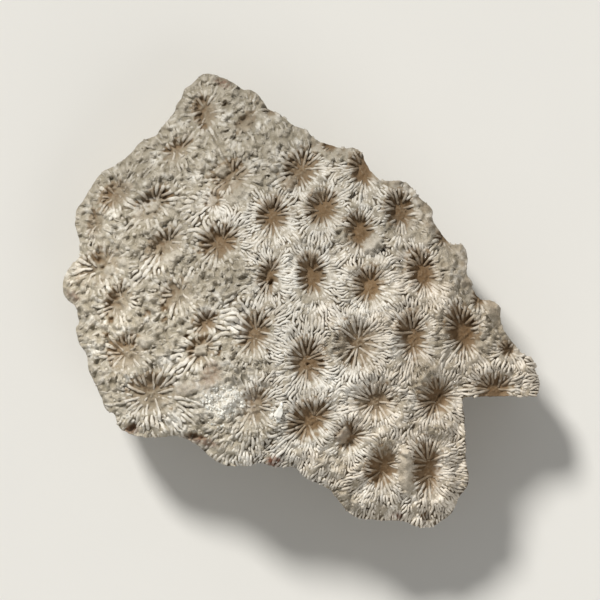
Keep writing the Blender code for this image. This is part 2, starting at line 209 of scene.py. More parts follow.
# Patches that calcite has made white.
FROST_PATCHES = [
    Oval(-1.9, 4.3, 1.1, 2.5, -10, 1.0), Oval(9.6, -2.1, 1.6, 0.8, 0, 0.9),
    Oval(4.0, -12.8, 1.9, 0.9, -10, 0.9), Oval(6.6, -16.6, 1.9, 0.9, 0, 0.8),
    Oval(6.3, -12.2, 4.2, 1.9, 0, 0.7), Oval(14.1, -6.8, 1.1, 1.8, 0, 0.6),
    Oval(-9.2, -4.2, 1.2, 1.3, 0, 0.8), Oval(-2.7, -5.4, 1.2, 1.2, 0, 0.7),
    Oval(-15.9, 18.3, 1.1, 0.9, 0, 0.9), Oval(-6.5, 20.2, 1.3, 0.8, 0, 0.8),
    Oval(-3.8, 21.8, 1.2, 0.8, 30, 0.8), Oval(-11.4, 12.6, 1.8, 0.9, -20, 0.8),
    Oval(-1.3, 11.1, 0.9, 1.2, 0, 0.6), Oval(-22.9, 14.5, 2.1, 0.8, 38, 0.6),
    Oval(-28.3, 12.9, 0.9, 0.9, 0, 0.7), Oval(-13.9, -1.5, 1.2, 0.8, 0, 0.8),
    Oval(-11.4, -15.0, 4.0, 2.6, 0, 1.0), Oval(21.1, -25.1, 1.1, 2.1, 0, 0.7),
    Oval(23.6, -15.8, 0.8, 1.2, 0, 0.6), Oval(-31.3, -7.8, 1.2, 1.3, 0, 0.8),
    Oval(-18.4, -17.6, 1.2, 1.5, 0, 0.5), Oval(-6.6, 1.9, 1.3, 0.8, 0, 0.6),
    Oval(-14.4, 15.0, 1.1, 1.1, 0, 0.6),
]

# Where calcite crystals grow.
CALCITE_PATCHES = [
    Oval(-3.5, -16.9, 0.9, 1.2, -20, 1.0), Oval(-11.6, -15.0, 3.2, 2.4, 0, 0.9),
    Oval(-13.0, -18.6, 2.2, 0.8, -15, 0.3), Oval(-15.9, 18.3, 0.9, 0.6, 0, 0.4),
]

# Rusty stains of iron.
STAINS = [
    Oval(-11.7, 32.6, 1.4, 0.6, -25, 0.8), Oval(-4.0, -23.9, 1.2, 0.8, 0, 1.0),
    Oval(-16.8, -13.0, 2.1, 1.0, 20, 0.2), Oval(6.5, -20.1, 1.3, 1.1, 30, 0.2),
    Oval(-13.4, -10.9, 1.3, 1.9, -20, 0.45), Oval(14.4, -32.2, 0.9, 0.5, 0, 0.7),
    Oval(-34.2, 0.6, 1.2, 0.7, -40, 0.6), Oval(-25.4, -19.3, 1.2, 0.7, 0, 0.6),
    Oval(-14.8, -20.9, 2.6, 0.6, -15, 0.7),
]

# Random waves over the colony: their length in millimetres, their seed, and how mixed their
# lengths are.
Waves = namedtuple("Waves", "length seed band", defaults=[0.45])
WAVES = {
    "rib_bends": Waves(1.5, 5),
    "lumpy_rims": Waves(1.3, 22),
    "ragged": Waves(1.1, 31),
    "frost": Waves(0.9, 32),
    "stains": Waves(0.8, 33),
    "open_walls": Waves(3.2, 34),
    "small_open_walls": Waves(1.3, 35),
    "muddy_rims": Waves(1.7, 36),
    "chalk": Waves(5.0, 37),
    "small_chalk": Waves(1.2, 38),
    "puffy_pits": Waves(1.8, 39),
    "puffs": Waves(2.4, 40, 0.9),
    "stumps": Waves(0.66, 41),
    "grains": Waves(1.0, 42, 0.9),
    "pocks": Waves(1.3, 43, 0.9),
    "swells": Waves(3.2, 44, 0.8),
    "rolling": Waves(2.8, 45),
    "small_rolling": Waves(1.5, 46),
    "warmth": Waves(9.0, 47),
    "furrows": Waves(1.5, 48),
    "furrowed_ground": Waves(2.6, 49),
    "zone_edges": Waves(3.6, 50),
    "beads": Waves(0.45, 51),
    "slow_widths": Waves(2.5, 52),
    "broken_ribs": Waves(2.2, 53),
    "bridges": Waves(0.8, 54),
    "wide_rolling": Waves(5.0, 55),
    "creased_ground": Waves(2.2, 56),
    "calm_ground": Waves(6.0, 57),
    "spongy_floors": Waves(0.55, 58),
    "floor_edges": Waves(1.0, 59),
    "brown_lip": Waves(2.5, 60),
    "crumby_ground": Waves(3.0, 71),
    "stained_flank": Waves(4.0, 81),
}

# Seeds of the pits' fills, of the fine points of the crust and of the chips.
PIT_SEED = 21
POINT_SEED = 11
CHIP_SEED = 17

LATTICE_PITCH = 0.1
LATTICE_BORDER = 1.2
BREAK_CORNER = (24.0, -14.4)
UPPER_FACE_RISE = 0.15
STREAK_STRIDE = 0.14
# The crust's skirt and the flank's hidden top: share of the margin's size and drop below it.
CAP_SKIRT = ((0.997, 0.4), (0.985, 1.2))
CAP_THICKNESS = 5.0
FLANK_TOP = (0.99, 0.2)
FLANK_DEPTH = 3.5
FLANK_SHARE = 0.9965
FLANK_DROP = 0.5
COARSE_FILL = 2.4
FILL_CLEARANCE = 0.8
BASE_CLEARANCE = 0.5
COARSE_STEP = 4  # lattice points between those where slow values are worked out
# The flank's relief.
COLUMN_WIDTH = 7.0
COLUMN_DEPTH = 0.45
CHIP_SIZE = 2.6
CHIP_EDGE = 0.22
CHIP_DEPTH = 1.1
RIB_PITCH = 0.72
RIB_HEIGHT = 0.13
BAND_PITCH = 1.9
BAND_HEIGHT = 0.07
GRAIN_SIZE = 0.45
GRAIN_HEIGHT = 0.10
HOLE_SIZE = 1.1
HOLE_DEPTH = 2.2
PLAIN_LIFT = 0.45  # how light the flank's flat and hidden faces are


# ---------------------------------------------------------------- settings


def length_setting(name, description, default, least=0.0):
    """A length, given in millimetres and kept in metres."""
    return FloatProperty(
        name=name,
        description=description,
        default=default * MM,
        min=least * MM,
        unit="LENGTH",
        precision=5,
    )


def colour_setting(name, description, *default):
    return FloatVectorProperty(
        name=name, description=description, subtype="COLOR", default=default, min=0.0, max=1.0
    )


def light_setting(name, description, default):
    return FloatProperty(name=name, description=description, default=default, min=0.0)


def seed_setting(description, default):
    return IntProperty(name="Seed", description=description, default=default)


class StoneSettings(PropertyGroup):
    """Sizes of the stone's own mesh."""

    surface_step: length_setting(
        "Surface step", "Distance between the points of the upper surface", 0.205, 0.1
    )
    margin_step: length_setting(
        "Margin step", "Distance between the points round the margin", 0.27, 0.1
    )
    flank_step: length_setting(
        "Flank step", "Distance between the points round the broken sides", 0.2, 0.1
    )
    side_rows: IntProperty(
        name="Side rows",
        description="Rows of points from the margin down to the base",
        default=58,
        min=4,
    )
    grit: length_setting("Grit", "Height of the fine grit on worn stone", 0.19)
    groove: length_setting(
        "Groove depth", "Depth of the grooves between the ribs outside the pits", 0.28
    )
    rim_groove: length_setting(
        "Rim groove depth", "Depth of the gaps between the ribs just inside a pit's rim", 0.26
    )


class RibSettings(PropertyGroup):
    """Sizes and spacing of the ribs."""

    spacing: length_setting(
        "Spacing", "Least distance between ribs on the walls between pits", 0.33, 0.2
    )
    pit_spacing: length_setting(
        "Spacing round pits", "Distance between the ribs that cross a pit's rim", 0.82, 0.2
    )
    width: length_setting("Width", "Greatest width of a rib on the walls between pits", 0.52, 0.05)
    pit_width: length_setting("Width in pits", "Width of a rib inside a pit", 0.45, 0.05)
    root: length_setting("Root", "How far a rib reaches down into the stone", 0.15)
    step: length_setting("Step", "Distance between two sections of a rib", 0.38, 0.1)
    seed: seed_setting("Seed of the ribs' order", 3)


class CrumbSettings(PropertyGroup):
    """Sizes of the crumbs of sediment."""

    spacing: length_setting("Spacing", "Least distance between two crumbs", 0.62, 0.1)
    smallest: length_setting("Smallest", "Radius of the smallest crumb", 0.14)
    largest: length_setting("Largest", "Radius of the largest crumb", 0.42)
    seed: seed_setting("Seed of the crumbs' places", 8)


class CalciteSettings(PropertyGroup):
    """Sizes of the calcite crystals."""

    spacing: length_setting("Spacing", "Least distance between two crystals", 0.3, 0.1)
    smallest: length_setting("Smallest", "Half the length of the smallest crystal", 0.07)
    largest: length_setting("Largest", "Half the length of the largest crystal", 0.3)
    seed: seed_setting("Seed of the crystals' places", 4)


class StoneColours(PropertyGroup):
    """Colours of the stone."""

    crest: colour_setting("Crest", "Colour of the ribs' crests", 0.69, 0.648, 0.57)
    crust: colour_setting("Crust", "Colour of the worn crust", 0.372, 0.332, 0.256)
    # Partly the grooves' own brown, partly painted shade in them.
    groove: colour_setting("Groove", "Colour in the grooves between the ribs", 0.105, 0.076, 0.048)
    pit: colour_setting("Pit", "Brown of the pits", 0.215, 0.138, 0.071)
    pit_crest: colour_setting(
        "Pit crest", "Tan of the ribs' crests inside the pits", 0.345, 0.27, 0.185
    )
    # Also the white of the painted highlight on the highest crests.
    frost: colour_setting("Frost", "White of the calcite patches", 0.93, 0.91, 0.85)
    clear: colour_setting("Clear", "Pale grey of the clear calcite", 0.80, 0.82, 0.79)
    warmth: colour_setting("Warmth", "Tint of the warmer side", 0.96, 0.92, 0.88)
    stain: colour_setting("Stain", "Rust of the iron stains", 0.20, 0.085, 0.05)


class StageSettings(PropertyGroup):
    """The floor and the light."""

    floor: colour_setting("Floor", "Colour of the floor", 0.78, 0.78, 0.76)
    key_light: light_setting("Key light", "Strength of the key light", 3.05)
    fill_light: light_setting("Fill light", "Strength of the weak light from the other side", 0.5)
    ambient: light_setting("Ambient light", "Strength of the even light from all round", 0.26)


# ---------------------------------------------------------------- values over the colony


def smoothstep(low, high, value):
    """0 where the value is low and 1 where it is high, with an even change between them."""
    share = np.clip((value - low) / (high - low), 0.0, 1.0)
    return share * share * (3.0 - 2.0 * share)


def turned(x, y, oval):
    """Offsets from an oval's middle along its length and across it."""
    turn = math.radians(oval.turn)
    x = x - oval.x
    y = y - oval.y
    return (
        x * math.cos(turn) + y * math.sin(turn),
        y * math.cos(turn) - x * math.sin(turn),
    )


def placed(along, across, oval):
    """The place that lies this far along an oval's length and across it."""
    turn = math.radians(oval.turn)
    return (
        oval.x + along * math.cos(turn) - across * math.sin(turn),
        oval.y + along * math.sin(turn) + across * math.cos(turn),
    )


def within(x, y, oval):
    """Distance from an oval's middle as a share of its radius."""
    along, across = turned(x, y, oval)
    return np.hypot(along / oval.long, across / oval.short)


def dome(x, y):
    """Height of the plain dome."""
    spread = ((x - PEAK[0]) / DOME_REACH[0]) ** 2 + ((y - PEAK[1]) / DOME_REACH[1]) ** 2
    return PEAK_HEIGHT - DOME_FALL * spread


def flat_noise(x, y, size, layer):
    """Smooth noise over the plan, with details of about this size."""
    return noise.noise(Vector((x / size, y / size, layer)))


def nearest_finder(points):
    """A tree that finds the nearest of these flat points."""
    tree = kdtree.KDTree(len(points))
    for index, (x, y) in enumerate(points):
        tree.insert((x, y, 0.0), index)
    tree.balance()
    return tree


def travelled_along(line):
    """The distance from a line's start to each of its points."""
    return np.concatenate([[0.0], np.hypot(*np.diff(line, axis=0).T).cumsum()])


def line_at(line, travelled, places):
    """The points of a line at these distances from its start."""
    return np.stack([np.interp(places, travelled, line[:, axis]) for axis in (0, 1)], axis=1)


def margin_loop():
    """The edge of the frame's upper surface seen from above, in order, anticlockwise."""
    mesh = bmesh.new()
    mesh.from_mesh(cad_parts[NODE].data)
    bmesh.ops.remove_doubles(mesh, verts=mesh.verts, dist=1e-6)
    bmesh.ops.recalc_face_normals(mesh, faces=mesh.faces[:])
    onward = {}
    for edge in mesh.edges:
        upper = [face.normal.z > UPPER_FACE_RISE for face in edge.link_faces]
        if len(upper) == 2 and upper[0] != upper[1]:
            first, second = edge.verts
            onward.setdefault(first.index, []).append(second.index)
            onward.setdefault(second.index, []).append(first.index)
    mesh.verts.ensure_lookup_table()
    longest = []
    while onward:
        here = next(iter(onward))
        loop = []
        while here in onward:
            loop.append(here)
            following = [index for index in onward.pop(here) if index in onward]
            here = following[0] if following else None
        longest = max(longest, loop, key=len)
    points = np.array([mesh.verts[index].co.xy for index in longest]) / MM
    mesh.free()
    x, y = points.T
    area = (x * np.roll(y, -1) - np.roll(x, -1) * y).sum()
    return points if area > 0 else points[::-1]


def inside_outline(x, y, outline):
    """Whether each place lies inside the closed outline, by counting the edges to its right."""
    inside = np.zeros(x.shape, bool)
    for (x1, y1), (x2, y2) in zip(outline, np.roll(outline, -1, axis=0)):
        if y1 == y2:
            continue
        crosses = (y1 > y) != (y2 > y)
        inside ^= crosses & (x < x1 + (y - y1) * (x2 - x1) / (y2 - y1))
    return inside


class Colony:
    """The colony's surface as values on a square lattice, in millimetres.

    Of a place's values, beyond and reach say how far it lies outside its pit's rim, in
    millimetres and as a share of the pit's size, and lift says how light it is between a
    groove, 0, and a crest, 1, which is partly painted shade.
    """

    def __init__(self):
        self.outline = margin_loop()
        self.low = self.outline.min(0) - LATTICE_BORDER
        span = self.outline.max(0) + LATTICE_BORDER - self.low
        size = np.ceil(span / LATTICE_PITCH / COARSE_STEP).astype(int) * COARSE_STEP + 1
        self.columns, self.rows = size.tolist()
        self.x, self.y = np.meshgrid(
            self.low[0] + LATTICE_PITCH * np.arange(self.columns),
            self.low[1] + LATTICE_PITCH * np.arange(self.rows),
        )
        up = np.fft.fftfreq(self.rows, LATTICE_PITCH)[:, None]
        along = np.fft.rfftfreq(self.columns, LATTICE_PITCH)[None, :]
        self.frequency = np.hypot(up, along)
        self.inside = inside_outline(self.x, self.y, self.outline)
        self.measure_pits()
        self.raise_crests()
        self.wear_down()
        self.cut_gaps()
        self.lay_ground()
        self.tint()

    def measure_pits(self):
        """Which pit each place belongs to, how far out it lies there, and which way ribs run.

        A pit is deeper on its high side, browner there partly as painted shade, and filled with silt
        on its low side.
        """
        blend, spine_share = 0.45, 0.6
        shape = self.x.shape
        self.beyond, self.reach = np.full((2, *shape), 1e9)
        self.bowls, self.owner_depth, self.silt, self.mud = np.zeros((4, *shape))
        self.pit, self.deep, way_x, way_y = np.zeros((4, *shape))
        silted = self.patches(SILTED_ZONES, 0.85, 1.15)
        lumpy = self.waves("lumpy_rims")
        rng = np.random.default_rng(PIT_SEED)
        for calice in CALICES:
            mean_radius = math.sqrt(calice.long * calice.short)
            along, across = turned(self.x, self.y, calice)
            reach = np.hypot(along / calice.long, across / calice.short)
            beyond = (reach - 1.0) * mean_radius
            spine = spine_share * (calice.long - calice.short)
            offset = along - np.clip(along, -spine, spine)
            double = 2.0 * (np.arctan2(across, offset) + math.radians(calice.turn))
            weight = np.exp(-beyond / blend)
            way_x += weight * np.cos(double)
            way_y += weight * np.sin(double)
            nearer = beyond < self.beyond
            self.reach = np.where(nearer, reach, self.reach)
            depth = calice.depth * rng.uniform(0.6, 1.2)
            self.owner_depth = np.where(nearer, depth, self.owner_depth)
            self.beyond = np.minimum(self.beyond, beyond)
            downhill = math.radians(rng.normal(-45.0, 25.0))
            low = (self.x - calice.x) * math.cos(downhill)
            low += (self.y - calice.y) * math.sin(downhill)
            low = low / mean_radius + 0.2 * lumpy
            low_side = smoothstep(-0.5, 0.4, low + 0.15 * silted) * rng.uniform(0.65, 1.0)
            fill = low_side * (1.0 - smoothstep(0.85, 1.05, reach))
            filled_gaps = low_side * (1.0 - smoothstep(0.95, 1.35, reach))
            self.silt = np.maximum(self.silt, filled_gaps * (0.75 + 0.2 * silted))
            self.mud = np.maximum(self.mud, fill * silted)
            even_slope = np.clip(reach - 0.15, 0.0, 1.0)
            slope = 0.75 * smoothstep(0.3, 1.1, reach) + 0.25 * even_slope
            bowl = 0.9 * calice.depth * (1.0 - slope)
            self.bowls += bowl * (1.0 - 0.45 * fill * silted)
            # The pit's own brown, reaching farther out on its high side as painted shade.
            edge = reach + 0.09 * lumpy + 0.24 * np.clip(low, -1.0, 1.0)
            self.deep = np.maximum(self.deep, 1.0 - smoothstep(0.58, 0.96, edge))
            brown = (1.0 - smoothstep(0.86, 1.02, edge)) * rng.uniform(0.85, 1.0)
            self.pit = np.maximum(self.pit, brown)
        bend = 0.32 * self.waves("rib_bends") * smoothstep(-0.8, 1.0, self.beyond)
        self.way = 0.5 * np.arctan2(way_y, way_x) + bend

    def raise_crests(self):
        """Height of the ribs' crests: the dome, its rolled margin, the pits and the lumps."""
        shares = np.linspace(0.0, 1.0, 4, endpoint=False)
        corners = zip(self.outline, np.roll(self.outline, -1, axis=0))
        margin = nearest_finder([a + (b - a) * share for a, b in corners for share in shares])
        break_x, break_y = BREAK_CORNER

        def from_margin(x, y):
            return margin.find((x, y, 0.0))[2]

        def slow(x, y):
            swell = SWELL * flat_noise(x, y, SWELL_LENGTH, 1.0)
            crust = CRUST * flat_noise(x, y, CRUST_LENGTH, 2.0)
            on_break = smoothstep(-1.0, 1.0, x - break_x) * smoothstep(-1.0, 1.0, break_y + 2.0 - y)
            roll = MARGIN_ROLL * math.exp(-from_margin(x, y) / MARGIN_ROLL_WIDTH)
            return swell + crust - roll * (1.0 - float(on_break))

        self.inward = self.spread(from_margin)
        height = dome(self.x, self.y) - self.bowls + self.spread(slow) - 0.1
        height += 0.5 * smoothstep(0.0, 2.0, self.beyond)
        rolling = 0.16 * self.waves("rolling") + 0.11 * self.waves("small_rolling")
        rolling += 0.2 * self.waves("wide_rolling")
        height += rolling * smoothstep(-0.3, 1.2, self.beyond)
        for lump in LUMPS:
            reach = within(self.x, self.y, lump) + 0.14 * self.waves("ragged")
            height += lump.strength * (1.0 - smoothstep(0.45, 1.2, reach))
        self.crest = height - 0.7 * np.maximum(height - PEAK_HEIGHT + 0.2, 0.0)
        self.slope_y, self.slope_x = np.gradient(self.smoothed(self.crest), LATTICE_PITCH)

    def wear_down(self):
        """Where the stone is worn, dull, frosted, stained or smooth, and where it has a lip."""
        ragged = self.waves("ragged")
        self.coarse = self.patches(WORN_ZONES, 0.8, 1.15)
        zones = self.coarse * (1.0 - self.patches(SHARP_PATCHES, 0.6, 1.2))
        self.dull = 0.35 * zones
        edge = self.beyond + 0.35 * ragged + 0.4 * self.waves("zone_edges")
        zones *= smoothstep(0.3, 1.3, edge)
        self.worn = np.maximum(self.patches(WORN_PATCHES, 0.75, 1.35), zones)
        self.worn = np.clip(self.worn + 0.16 * ragged * (self.worn > 0.02), 0.0, 1.0)
        self.dull = np.maximum(self.dull, self.worn)
        frosted = smoothstep(-1.2, 0.4, self.waves("frost"))
        self.frost = self.patches(FROST_PATCHES, 0.5, 1.5) * frosted
        chalky = smoothstep(0.1, 1.5, self.waves("chalk"))
        chalky *= smoothstep(-0.5, 0.8, self.waves("small_chalk"))
        self.frost = np.maximum(self.frost, 0.75 * chalky * smoothstep(0.9, 1.4, self.reach))
        self.stain = self.patches(STAINS, 0.5, 1.4) * smoothstep(-1.6, 0.2, self.waves("stains"))
        self.smooth = np.zeros(self.x.shape)
        for lump in LUMPS:
            reach = within(self.x, self.y, lump) + 0.08 * ragged
            self.smooth = np.maximum(self.smooth, 1.0 - smoothstep(0.85, 1.15, reach))
        near_margin = 1.0 - smoothstep(0.6, 1.7, self.inward + 0.4 * ragged)
        self.lip = self.patches(LIP_ZONES, 0.85, 1.1) * near_margin
        smooth_lip = 0.55 * self.lip * smoothstep(-0.2, 0.6, self.beyond)
        self.smooth = 0.9 * np.maximum(self.smooth, smooth_lip)

    def cut_gaps(self):
        """Depth and tone of the gaps between the ribs, which are shallow in fused walls; the tone is
        partly painted shade.
        """
        settings = bpy.context.scene.coral_stone
        uneven = self.waves("open_walls") + 0.7 * self.waves("small_open_walls")
        puffy = 1.0 - smoothstep(0.3, 1.0, self.beyond + 0.3 * self.waves("puffy_pits"))
        self.puffy = self.patches(PUFFY_ZONES, 0.7, 1.2)
        uneven = uneven + 0.2 - 1.1 * puffy - 0.7 * self.puffy
        apart = 0.06 + 1.2 * smoothstep(-0.75, 0.75, uneven)
        apart = apart * (1.0 - 0.65 * smoothstep(0.4, 1.4, self.waves("bridges")))
        wall = smoothstep(0.88, 1.08, self.reach)
        rim = smoothstep(0.3, 0.8, self.reach) * (1.0 - wall)
        within_pit = (1.0 - wall) * smoothstep(0.02, 0.4, self.reach)
        muddy = 0.15 + 0.85 * smoothstep(-0.8, 0.8, self.waves("muddy_rims"))
        gap = settings.groove / MM * (wall * apart + 0.8 * within_pit)
        gap += settings.rim_groove / MM * rim * muddy * self.owner_depth / 2.0
        gap *= (1.0 - self.worn) * (1.0 - 0.85 * self.silt) * (1.0 - self.smooth)
        self.gap = gap * (1.0 + 0.25 * self.coarse)
        spongy = self.waves("spongy_floors")
        middle = smoothstep(0.5, 0.1, self.reach + 0.1 * self.waves("floor_edges"))
        middle *= 1.0 - self.smooth
        self.sponge = middle * (0.16 + 0.09 * spongy)
        # Painted shade as well as the grooves' own brown: the deeper the gap between ribs, the darker.
        self.lift = 1.0 - np.clip(self.gap / (0.22 + 0.3 * rim), 0.0, 0.85)
        self.lift = np.minimum(self.lift, 0.27 + 0.73 * smoothstep(0.3, 0.9, self.reach))
        self.lift += middle * (0.02 + 0.2 * spongy)
        self.lift -= 0.22 * wall * (1.0 - smoothstep(0.1, 0.7, apart))

    def lay_ground(self):
        """Height of the surface between the ribs, with the relief of worn stone and the holes."""
        settings = bpy.context.scene.coral_stone
        ragged = self.waves("ragged")
        bare = np.maximum(self.worn, 0.75 * self.mud)
        calm = smoothstep(-0.3, 1.3, self.waves("calm_ground"))
        stumps = self.streaked(self.waves("stumps"), 0.8)
        fine = 0.7 * stumps + 0.3 * self.waves("grains")
        fine = np.maximum(fine, 0.55 * fine)
        swell = np.abs(self.waves("swells"))
        puffs = 0.46 * (np.minimum(swell, 1.4) - 0.7) + 0.24 * self.waves("puffs")
        pocks = smoothstep(1.4, 2.4, self.waves("pocks"))
        furrows = smoothstep(0.25, 0.0, np.abs(self.waves("furrows")))
        furrows *= smoothstep(-0.4, 0.8, self.waves("furrowed_ground"))
        creases = smoothstep(0.12, 0.0, swell + 0.05 * fine)
        creases *= smoothstep(-0.2, 0.9, self.waves("creased_ground"))
        grit = settings.grit / MM * fine * (0.2 + 0.45 * bare) * (1.0 - 0.6 * calm * bare)
        grit += (puffs - 0.15 * pocks - 0.24 * furrows - 0.2 * creases) * bare
        grit *= (1.0 - 0.8 * self.smooth) * (1.0 - 0.5 * self.lip)
        self.ground = self.crest - self.gap + grit + self.sponge
        self.hole = np.zeros(self.x.shape)
        for hole in HOLES:
            reach = within(self.x, self.y, hole) + 0.22 * ragged
            self.hole = np.maximum(self.hole, 1.0 - smoothstep(0.5, 1.25, reach))
            self.ground -= hole.strength * (1.0 - smoothstep(0.4, 1.3, reach))
        # Painted shade on worn ground: darker in the dips of the grit and in the creases between
        # lumps, lighter on its bumps.
        worn_lift_with_shade = np.clip(0.64 + 0.4 * (grit - self.smoothed(grit, 0.8)), 0.4, 0.9)
        worn_lift_with_shade -= 0.3 * creases
        self.lift = self.lift * (1.0 - bare) + worn_lift_with_shade * bare
        self.lift = self.lift * (1.0 - self.smooth) + 0.8 * self.smooth
        # Painted shade: the holes are darker.
        self.lift *= 1.0 - 0.8 * self.hole
        # Painted shade and light: darker in the hollows of the relief, lighter on its swells.
        swells = self.crest + grit + self.bowls
        self.painted_hollow_shade = 0.1 * np.tanh(1.5 * (swells - self.smoothed(swells, 1.1)))

    def tint(self):
        """How warm and how brown the stone is, and the painted light and shade across it."""
        # Painted light and shade: darker towards the top and the right, paler at the far left and the
        # bottom.
        self.shade = 1.0 - 0.13 * self.y / 30.0 - 0.09 * smoothstep(-14.0, -2.0, self.x)
        self.shade += self.patches(PAINTED_LIGHT_ZONES, 0.3, 1.2) + 0.05 * smoothstep(-15.0, -25.0, self.y)
        # Painted shade in the hollows and painted light on the swells.
        self.shade += self.painted_hollow_shade * (1.0 - self.smooth)
        uneven = 5.0 * self.waves("warmth")
        self.warm = smoothstep(0.0, 26.0, self.x - 0.25 * self.y + uneven)
        self.pit *= (1.0 - 0.75 * self.mud) * (1.0 - 0.85 * self.smooth)
        self.pit *= 1.0 - self.patches(PALE_PITS, 0.8, 1.1)
        brown = self.patches(BROWN_PATCHES, 0.6, 1.3)
        brown *= smoothstep(-1.6, 0.2, self.waves("ragged"))
        # Along the lip, brown that is partly the lip's own tan-brown and partly painted shade at the
        # outer lip.
        brown_lip = 0.4 * self.lip * smoothstep(-0.6, 1.0, self.waves("brown_lip"))
        # The holes take the full brown of a pit, as painted shade.
        self.pit = np.maximum(np.maximum(self.pit, np.maximum(brown, brown_lip)), self.hole)

    def waves(self, name):
        """The waves of this name, with a mean of 0 and a spread of 1."""
        length, seed, band = WAVES[name]
        spectrum = np.fft.rfft2(np.random.default_rng(seed).standard_normal(self.x.shape))
        spectrum *= np.exp(-0.5 * ((self.frequency * length - 1.0) / band) ** 2)
        values = np.fft.irfft2(spectrum, s=self.x.shape)
        return (values - values.mean()) / values.std()

    def streaked(self, values, length):
        """Values drawn out along the ribs, like the stumps that are left of worn ribs."""
        cos, sin = np.cos(2.0 * self.way), np.sin(2.0 * self.way)
        total = values.ravel().copy()
        for sign in (1.0, -1.0):
            points = np.stack([self.x.ravel(), self.y.ravel()], axis=1)
            way = sign * np.stack([np.cos(self.way).ravel(), np.sin(self.way).ravel()], axis=1)
            for _ in range(round(length / STREAK_STRIDE)):
                points += STREAK_STRIDE * way
                angle = 0.5 * np.arctan2(self.read(sin, points), self.read(cos, points))
                onward = np.stack([np.cos(angle), np.sin(angle)], axis=1)
                turned_back = (onward * way).sum(1) < 0.0
                onward[turned_back] *= -1.0
                way = onward
                total += self.read(values, points)
        total -= total.mean()
        return (total / total.std()).reshape(values.shape)

    def smoothed(self, values, width=0.12):
        """Values with every detail narrower than this width blurred away."""
        blur = np.exp(-2.0 * (math.pi * self.frequency * width) ** 2)
        return np.fft.irfft2(np.fft.rfft2(values) * blur, s=values.shape)

    def patches(self, ovals, full, none):
        """The strongest of the ovals at each place, fading from full to none of its radius."""
        strongest = np.zeros(self.x.shape)
        for oval in ovals:
            fade = 1.0 - smoothstep(full, none, within(self.x, self.y, oval))
            strongest = np.maximum(strongest, oval.strength * fade)
        return strongest

    def spread(self, value_at):
        """A slow value worked out at every few lattice points and interpolated between them."""
        xs = self.x[::COARSE_STEP, ::COARSE_STEP]
        ys = self.y[::COARSE_STEP, ::COARSE_STEP]
        coarse = np.array([[value_at(x, y) for x, y in zip(*row)] for row in zip(xs, ys)])
        columns = np.arange(self.columns) / COARSE_STEP
        rows = np.arange(self.rows) / COARSE_STEP
        wide = np.array([np.interp(columns, np.arange(coarse.shape[1]), row) for row in coarse])
        tall = [np.interp(rows, np.arange(len(wide)), column) for column in wide.T]
        return np.array(tall).T

    def read(self, values, points):
        """Values at any points, interpolated on the lattice."""
        place = (points[:, :2] - self.low) / LATTICE_PITCH
        column = np.clip(place[:, 0].astype(int), 0, self.columns - 2)
        row = np.clip(place[:, 1].astype(int), 0, self.rows - 2)
        right = place[:, 0] - column
        up = place[:, 1] - row
        lower = values[row, column] * (1 - right) + values[row, column + 1] * right
        upper = values[row + 1, column] * (1 - right) + values[row + 1, column + 1] * right
        return lower * (1 - up) + upper * up

    def values_at(self, points, *names):
        """The values that a mesh keeps under these names, where dull stone counts as worn."""
        kept = {**vars(self), "worn": self.dull}
        return {name: self.read(kept[name], points) for name in names}


@functools.lru_cache(maxsize=None)
def colony():
    """The one colony, worked out at its first use."""
    return Colony()


# ---------------------------------------------------------------- the stone


def fine_margin(outline, step):
    """The outline with its corners eased, at an even step, and a little serrated."""
    for _ in range(2):
        following = np.roll(outline, -1, axis=0)
        quarter = outline * 0.8 + following * 0.2
        three = outline * 0.2 + following * 0.8
        outline = np.stack([quarter, three], axis=1).reshape(-1, 2)
    closed = np.vstack([outline, outline[:1]])
    travelled = travelled_along(closed)
    count = round(travelled[-1] / step)
    places = np.arange(count) * travelled[-1] / count
    points = line_at(closed, travelled, places)
    tangent = np.roll(points, -1, axis=0) - np.roll(points, 1, axis=0)
    outward = np.stack([tangent[:, 1], -tangent[:, 0]], axis=1)
    outward /= np.linalg.norm(outward, axis=1)[:, None]
    rough = [
        0.10 * flat_noise(x, y, 0.9, 7.0) + 0.08 * flat_noise(x, y, 0.35, 8.0) for x, y in points
    ]
    return points + outward * np.array(rough)[:, None], places


def lattice_inside(margin, step, clearance):
    """An uneven triangular lattice inside the margin."""
    low, high = margin.min(0), margin.max(0)
    rise = step * math.sqrt(0.75)
    rows = int((high[1] - low[1]) / rise)
    columns = int((high[0] - low[0]) / step)
    column, row = np.meshgrid(np.arange(columns), np.arange(rows))
    x = (low[0] + step * (column + 0.5 * (row % 2))).ravel()
    y = (low[1] + rise * row).ravel()
    jitter = np.random.default_rng(POINT_SEED).normal(0.0, 0.12 * step, (2, x.size))
    x, y = x + jitter[0], y + jitter[1]
    keep = inside_outline(x, y, margin)
    points = np.stack([x[keep], y[keep]], axis=1)
    tree = nearest_finder(margin)
    clear = [tree.find((x, y, 0.0))[2] > clearance for x, y in points]
    return points[np.array(clear)]


class Shell:
    """A closed shell of rings of points, from the top down, with both ends filled."""

    def __init__(self, flat, height):
        self.points = []
        self.faces = []
        self.total = 0
        self.ring = self.add(flat, height)

    def add(self, flat, height):
        self.points.append(np.column_stack([flat, height]))
        self.flat = flat
        self.total += len(flat)
        return range(self.total - len(flat), self.total)

    def lower(self, flat, height):
        """Joins the last ring to a new one below it."""
        upper, lower = self.ring, self.add(flat, height)
        for i, j in zip(range(len(upper)), (*range(1, len(upper)), 0)):
            self.faces.append((upper[i], lower[i], lower[j], upper[j]))
        self.ring = lower

    def fill(self, inner, height, downwards=False):
        """Fills the last ring with the help of the points inside it."""
        ring = self.flat
        count = len(ring)
        edge = [list(range(count))]
        places = [Vector(point) for point in np.vstack([ring, inner])]
        corners, _, faces, _, _, _ = delaunay_2d_cdt(places, [], edge, 1, 1e-6)
        if len(corners) != count + len(inner):
            raise RuntimeError("a ring of the stone crosses itself")
        index = [*self.ring, *self.add(inner, height)]
        turn = -1 if downwards else 1
        self.faces += [tuple(index[i] for i in face)[::turn] for face in faces]


